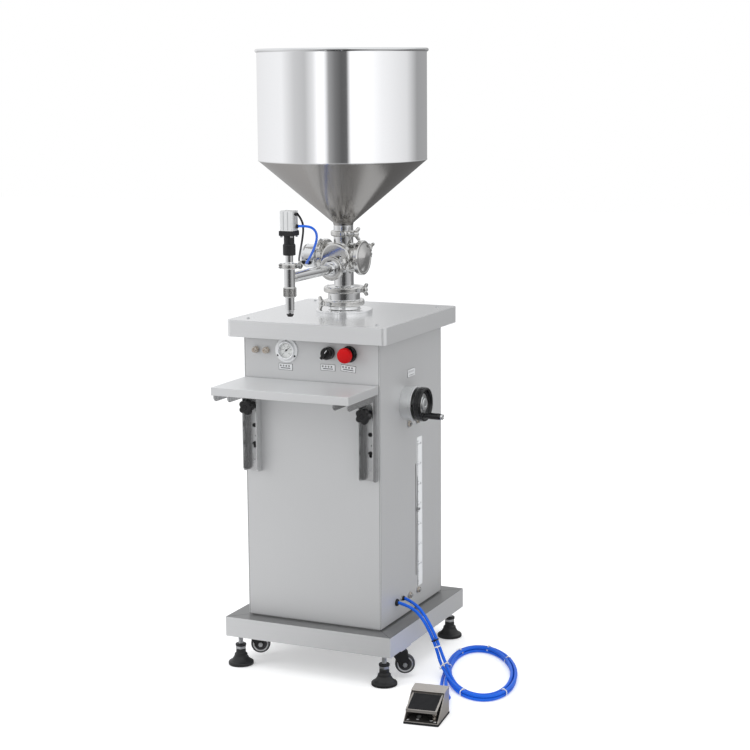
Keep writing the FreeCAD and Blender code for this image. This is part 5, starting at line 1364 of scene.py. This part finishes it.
class FILLER_OT_valve(bpy.types.Operator):
    """Make the valve, its spools, clamps, actuator and outlet pipe"""

    bl_idname = "filler.valve"
    bl_label = "Valve and pipe"

    def spools(self):
        """Spools and flange between the table and the valve."""
        maker = Maker()
        maker.lathe((0, 0, 0), Z, [(38, 884.9), (70.2, 884.9), (71, 885.7), (71, 889.2), (70, 890),
            (56, 890), (42, 890), (40.4, 891.4), (40, 893), (40, 898), (41.4, 899.6),
            (45.5, 901.4), (45.5, 906), (38, 906)], "polished", 112, 0.7, closed=True)
        maker.lathe((0, 0, 0), Z, [(38, 906.6), (45.5, 906.6), (45.5, 910.6), (41.4, 913),
            (40, 914.6), (40, 932.6), (41.4, 934.2), (45.5, 936), (45.5, 939.9), (38, 939.9)],
            "polished", 112, 0.7, closed=True)
        maker.build("cylinder_spool", "machine", "polished_steel", ("cylinder_cover",))
        flange = Maker()
        flange.lathe((0, 0, 0), Z, [(40.2, 862), (45, 862), (45, 880), (69.6, 880.1), (71, 881.2),
            (71, 883.8), (70, 884.7), (40.2, 884.7)], "polished", 112, 0.6, closed=True)
        flange.build("cylinder_flange", "machine", "polished_steel")

    def body(self):
        """The valve housing with its necks and covers, and its drive."""
        at = Vector((0, 0, VALVE_Z))
        maker = Maker()
        maker.lathe(at, X, [(30.4, -50), (40, -50), (40, -46.4), (37.4, -45), (36.6, -43),
            (36.4, -38), (36.4, 38), (36.6, 43), (37.4, 45), (40, 46.4), (40, 50), (30.4, 50)],
            "cast", 96, 0.8, closed=True)
        maker.lathe(at, -Y, [(0, 30), (39, 30), (39, 47.6), (37.4, 51), (34, 52), (0, 52)],
                    "cast", 84, 1.4)
        maker.lathe((0, 0, 0), Z, [(18, 940.2), (45.5, 940.2), (45.5, 944.4), (40, 946.4),
            (27, 947.2), (24.7, 949), (24.5, 990), (18, 990)], "polished", 84, 0.8, closed=True)
        maker.lathe((0, 0, 0), Z, [(18, 1050), (24.5, 1050), (24.5, 1072), (25.4, 1073.6),
            (28, 1075), (28, 1079.8), (18, 1079.8)], "polished", 64, 0.6, closed=True)
        maker.lathe((0, 0, OUTLET_Z), -Y, [(10.5, 50), (15, 50), (15, 62), (16.4, 63.4),
            (25.2, 65), (25.2, 69.9), (10.5, 69.9)], "polished", 64, 0.6, closed=True)
        maker.lathe(at, X, [(0, 50.2), (40, 50.2), (40, 54.6), (38, 56), (34, 57), (22, 61.5),
            (12, 64.4), (0, 65.4)], "cast", 84, 1.4)
        maker.lathe(at, -X, [(0, 50.2), (40, 50.2), (40, 54.6), (38, 56), (26, 56.4), (24, 57.6),
            (23, 59.4), (0, 59.8)], "polished", 84, 0.8)
        maker.build("valve_housing", "machine", "polished_steel", ("valve_body",))

        drive = Maker()
        drive.lathe((-70, 0, VALVE_Z), -X, [(0, 0), (28.6, 0), (30, 1.6), (30, 4), (28.8, 5),
            (28.8, 29), (30, 30), (30, 33), (27.4, 36.4), (0, 37)], "polished", 72, 0.9)
        drive.lathe((-58, 0, VALVE_Z), -X, [(6.2, 0), (17, 0), (17, 12.4), (6.2, 12.4)], "zinc",
            48, 0.8, closed=True)
        for x in (-80, -97):
            drive.extrude(polygon(6, 6.2, 0.1), (x, -26, 1006), -Y, Z, 5, "zinc", 0.5)
            drive.lathe((x, -31, 1006), -Y, [(0, 0), (5, 0), (5, 6), (4, 8), (0, 8)], "black",
                        28, 0.6)
        drive.build("valve_drive", "machine", "machined_aluminium", ("valve_actuator",))

    def pipe(self):
        """The outlet pipe and its tee."""
        maker = Maker()
        y = NOZZLE_Y
        maker.lathe((0, 0, OUTLET_Z), -Y, [(10.5, 70.2), (25.2, 70.2), (25.2, 74.6), (16, 76),
            (13, 77.4), (12.5, 79.5), (12.5, 290), (10.5, 290)], "polished", 56, 0.7, closed=True)
        maker.lathe((0, y, 0), Z, [(10.5, 977), (12, 977), (12.5, 977.6), (12.5, 1018.4),
            (13.2, 1020), (15.5, 1022), (15.5, 1026.9), (10.5, 1026.9)], "polished", 56, 0.6,
            closed=True)
        maker.lathe((0, 0, OUTLET_Z), -Y, [(12.2, 277), (13.3, 279), (13.3, 281), (12.2, 282.4)],
            "cast", 48, 0.4, closed=True)
        maker.build("outlet_tube", "machine", "polished_steel", ("outlet_pipe",))

    def clamps(self):
        """The seven pipe clamps."""
        maker = Maker()
        clamp(maker, (0, 0, 1080), Z, Vector((0.62, -0.78, 0)), 24.6, 32, 14, 17, 17)
        clamp(maker, (0, 0, 940), Z, Vector((0.97, -0.25, 0)), 41, 51, 14.5, 16)
        clamp(maker, (0, 0, 906.3), -Z, Vector((-0.5, -0.86, 0)), 41, 51, 14.5, 17, 13)
        clamp(maker, (0, -70, OUTLET_Z), -Y, Vector((0.98, 0, 0.15)), 21, 30, 14, 12)
        clamp(maker, (50, 0, VALVE_Z), X, Vector((0, 0.97, 0.2)), 36.8, 43.5, 14, 15)
        clamp(maker, (-50, 0, VALVE_Z), X, Vector((0, -0.7, 0.72)), 36.8, 44.5, 14, 13)
        clamp(maker, (0, NOZZLE_Y, 1027), Z, Vector((0.93, 0.36, 0)), 13, 19, 13, 10)
        maker.build("pipe_clamps", "machine", "polished_steel", ("tri_clamps",))

    def execute(self, context):
        self.spools()
        self.body()
        self.pipe()
        self.clamps()
        return {"FINISHED"}


class FILLER_OT_nozzle(bpy.types.Operator):
    """Make the shut-off nozzle"""

    bl_idname = "filler.nozzle"
    bl_label = "Nozzle"

    def execute(self, context):
        y = NOZZLE_Y
        maker = Maker()
        maker.lathe((0, y, 0), Z, [(4.1, 1027.2), (15.5, 1027.2), (15.5, 1031.4), (10.5, 1033),
            (9.2, 1034.4), (9, 1036), (9, 1053), (4.1, 1053)], "polished", 48, 0.5, closed=True)
        maker.lathe((0, y, 0), Z, [(8, 922), (10.5, 922), (10.5, 953), (8, 953)], "polished", 56,
            0.5, closed=True)
        maker.lathe((0, y, 0), Z, [(7.1, 914), (8.5, 914), (8.5, 918), (9.4, 919), (9.4, 921),
            (10.3, 922.3), (7.1, 922.3)], "polished", 48, 0.3, closed=True)
        maker.lathe((0, y, 0), Z, [(7.1, 910.6), (8.3, 910.6), (8.5, 911.4), (8.5, 914),
            (7.1, 914)], "black", 48, 0.2, closed=True)
        maker.lathe((0, y, 0), Z, [(9, 953.4), (13.4, 953.4), (15.2, 955.2), (15.2, 975.6),
            (13.6, 977.4), (9, 977.4)], "cast", 56, 0.5, closed=True)
        maker.build("nozzle_pipe", "machine", "polished_steel", ("nozzle_tube",))

        ridge = Maker().extrude([(-0.9, 0), (0.9, 0), (0, 0.95)], (0, 0, 0), Z, X, 19.6, "cast", 0)
        places = []
        for i in range(48):
            a = math.tau * i / 48
            out = Vector((math.cos(a), math.sin(a), 0))
            turn = Matrix((out, Z.cross(out), Z)).transposed().to_4x4()
            places.append(Matrix.Translation((Vector((0, y, 955.6)) + out * 15.0) * MM) @ turn)
        scattered("nozzle_nut_knurl", ridge, places, "cast", "machine")

        black = Maker()

        def flats(a, r):
            return 1.0 - (0.03 * (0.5 + 0.5 * math.cos(24 * a)) if r > 14 else 0)

        black.lathe((0, y, 0), Z, [(5, 1052.2), (13.6, 1052.2), (15, 1053.6), (15, 1076.6),
            (13.8, 1078.6), (12.6, 1079.4), (5, 1079.4)], "black", 96, 0.6, flats, closed=True)
        black.lathe((0, y, 0), Z, [(5, 1079), (12.4, 1079), (12.4, 1099), (5, 1099)], "black", 56,
            0.5, closed=True)
        black.block((-18, y - 18, 1098.6), (18, y + 18, 1110), "black", 1.0)
        for sx in (-1, 1):
            for sy in (-1, 1):
                black.lathe((sx * 13.5, y + sy * 13.5, 1098.8), -Z,
                    [(0, 0), (3.2, 0), (3.2, 3.4), (2.8, 3.9), (0, 3.9)], "zinc", 20, 0.3)
        black.build("nozzle_coupling", "machine", "black_plastic", ("nozzle_adapter",))

        air = Maker()
        half, cut_in = 17.0, 3.0
        outline = []
        for sx, sy in ((1, 1), (-1, 1), (-1, -1), (1, -1)):
            first, second = (half * sx, (half - cut_in) * sy), ((half - cut_in) * sx, half * sy)
            outline += [first, second] if sx * sy > 0 else [second, first]
        air.extrude(outline, (0, y, 1110), Z, Y, 47, "anodised", 0.7)
        for sx, sy in ((1, 0), (-1, 0), (0, 1), (0, -1)):
            for step in (-5.5, 5.5):
                low = Vector((sx * 16.9 + abs(sy) * step, y + sy * 16.9 + abs(sx) * step, 1112))
                grow = Vector((0.22 if sx else 0.8, 0.22 if sy else 0.8, 0))
                air.block(low - grow, low + grow + Z * 43, "zinc", 0)
        for sx in (-1, 1):
            for sy in (-1, 1):
                air.lathe((sx * 11.5, y + sy * 11.5, 1156.8), Z,
                    [(2.6, 0), (2.4, 0.5), (1.4, 0.4), (0, -0.4)], "zinc", 18, 0)
        air.extrude(polygon(6, 5.6, 0.2), (16.5, y, 1121), X, Z, 3, "zinc", 0.4)
        air.rod((19, y, 1121), X, 4.6, 5, "black", 28, 0.5)
        air.rod((16.5, y, 1149), X, 3.9, 7.5, "black", 24, 0.6)
        air.build("nozzle_air_cylinder", "machine", "machined_aluminium", ("nozzle_cylinder",))

        rod = Maker()
        rod.lathe((0, y, 0), Z, [(0, 906.9), (5.4, 906.9), (6.8, 908), (6.95, 909.2),
            (6.95, 913.8), (4, 915), (4, 1118), (12.4, 1118), (12.4, 1126), (0, 1126)], "black",
            40, 0.3)
        rod.build("nozzle_rod_plug", "nozzle_rod", "polished_steel", ("nozzle_plunger",))
        return {"FINISHED"}


# Foot valve ------------------------------------------------------------------------------


class FILLER_OT_foot_valve(bpy.types.Operator):
    """Make the foot valve with its ribbed pedal"""

    bl_idname = "filler.foot_valve"
    bl_label = "Foot valve"

    def execute(self, context):
        place = (Matrix.Translation((385, -383, 0)) @ Matrix.Rotation(math.radians(7), 4, "Z"))
        Maker().carried("foot_housing", "warm sheet", 0.5, 35).build("foot_cover", "machine",
            "satin_steel", ("foot_housing",))

        mat = Maker()
        mat.block((-42, -49, 0), (42, 49, 5), "rubber", 1.4)
        for i in range(9):
            mat.block((-42.3, -44 + 11 * i, 1), (42.3, -40 + 11 * i, 3.4), "rubber", 0.5)
        mat.turned(place)
        mat.build("foot_mat_rubber", "machine", "black_rubber", ("foot_mat",))

        inner = Maker()
        # The air valve's body is painted near-black as painted shade inside the housing
        inner.block((5, -4, 6.6), (39, 45, 34.6), "inside", 1.0)
        inner.rod((14, 2, 34), Z, 5, 4.6, "zinc", 28, 0.8)
        for x in (14, 30):
            inner.lathe((x, 45.4, 24), Y, [(4.1, 0), (7, 0), (7, 9), (6.4, 10), (6.4, 13),
                (5.4, 14.6), (4.1, 14.6)], "black", 36, 0.6, closed=True)
        for x, y in ((-33, -38), (31, -38), (-12, -30), (20, -30)):
            inner.lathe((x, y, 6.5), Z, [(0, 0), (4.4, 0), (4.2, 1.6), (2.8, 2.6), (1.2, 2.7),
                (0, 2.0)], "polished", 24, 0.4)
        inner.lathe((-14, -14, 6.6), Z, [(0, 0), (6, 0), (6, 3), (0, 3)], "zinc", 28, 0.4)
        inner.lathe((26, -22, 6.6), Z, [(0, 0), (5, 0), (5.4, 4), (4.6, 4.6), (4.6, 9.5),
            (5.6, 10.4), (5.4, 13.4), (3, 14.4), (0, 14.6)], "tawny", 32, 0.5)
        # A thin near-black sheet over the housing floor: painted shade
        inner.block((-39, -46.6, 6.7), (39, 44, 7.0), "inside", 0)
        inner.turned(place)
        inner.build("foot_air_block", "machine", "machined_aluminium", ("foot_air_valve",))

        hinge = (place @ Matrix.Translation((0, 22, 52))
                 @ Matrix.Rotation(math.radians(19), 4, "X"))
        tread = Maker()
        tread.block((-37, -70, 2.6), (37, -2, 4.6), "warm sheet", 0.5)
        for lip, ear in ((-37, -37), (33.4, 34)):
            tread.block((lip, -69.6, 3.6), (lip + 3.6, -4, 6.6), "warm sheet", 0.7)
            tread.block((ear, -14, -4), (ear + 3, 4, 3.5), "warm sheet", 0.6)
        tread.block((-37, -70, -2), (37, -67.6, 6.4), "warm sheet", 0.8)
        tread.turned(hinge)
        tread.build("pedal_tread", "treadle", "satin_steel", ("pedal",))

        pad = Maker()
        pad.block((-33, -67, 4.4), (33, -9, 6.4), "rubber", 0.6)
        for i in range(14):
            pad.block((-31.8, -65.6 + 4 * i, 6.0), (31.8, -63.4 + 4 * i, 7.3), "rubber", 0.5)
        pad.turned(hinge)
        pad.build("pedal_rubber", "treadle", "black_rubber", ("pedal_pad",))
        return {"FINISHED"}


class FILLER_OT_inside(bpy.types.Operator):
    """Finish the works inside the cabinet and the valve"""

    bl_idname = "filler.inside"
    bl_label = "Inside works"

    def execute(self, context):
        finishes = {"adjust_bracket": "zinc", "leadscrew": "zinc", "air_cylinder": "anodised",
            "support_columns": "zinc", "product_cylinder": "polished", "piston": "polished",
            "valve_rotor": "polished"}
        for node, finish in finishes.items():
            data = frame["nodes"][node].data
            data.materials.clear()
            data.materials.append(FINISH[finish])
        return {"FINISHED"}


class FILLER_PT_tools(bpy.types.Panel):
    """The filler's sizes, colours and building steps"""

    bl_idname = "FILLER_PT_tools"
    bl_label = "Piston liquid filler"
    bl_space_type = "VIEW_3D"
    bl_region_type = "UI"
    bl_category = "Filler"

    def draw(self, context):
        layout = self.layout
        for group in ("filler_camera", "filler_hoses", "filler_finish"):
            settings = getattr(context.scene, group)
            box = layout.box()
            for name in settings.bl_rna.properties.keys():
                if name not in ("rna_type", "name"):
                    box.prop(settings, name)
        for step in STEPS:
            layout.operator(step.bl_idname)


STEPS = (FILLER_OT_camera, FILLER_OT_hoses, FILLER_OT_cabinet, FILLER_OT_screws, FILLER_OT_feet,
    FILLER_OT_shelf, FILLER_OT_panel, FILLER_OT_adjustment, FILLER_OT_hopper, FILLER_OT_valve,
    FILLER_OT_nozzle, FILLER_OT_foot_valve, FILLER_OT_inside, FILLER_OT_stage)
SETTINGS = {"filler_finish": FinishSettings, "filler_camera": CameraSettings,
    "filler_hoses": HoseSettings}


def register():
    for group in SETTINGS.values():
        bpy.utils.register_class(group)
    for step in STEPS:
        bpy.utils.register_class(step)
    bpy.utils.register_class(FILLER_PT_tools)
    for name, group in SETTINGS.items():
        setattr(bpy.types.Scene, name, PointerProperty(type=group))


def unregister():
    for name in SETTINGS:
        delattr(bpy.types.Scene, name)
    bpy.utils.unregister_class(FILLER_PT_tools)
    for step in reversed(STEPS):
        bpy.utils.unregister_class(step)
    for group in SETTINGS.values():
        bpy.utils.unregister_class(group)


def main():
    register()
    make_finishes(bpy.context.scene.filler_finish)
    for step in STEPS:
        area, name = step.bl_idname.split(".")
        getattr(getattr(bpy.ops, area), name)()


if __name__ == "__main__":
    main()
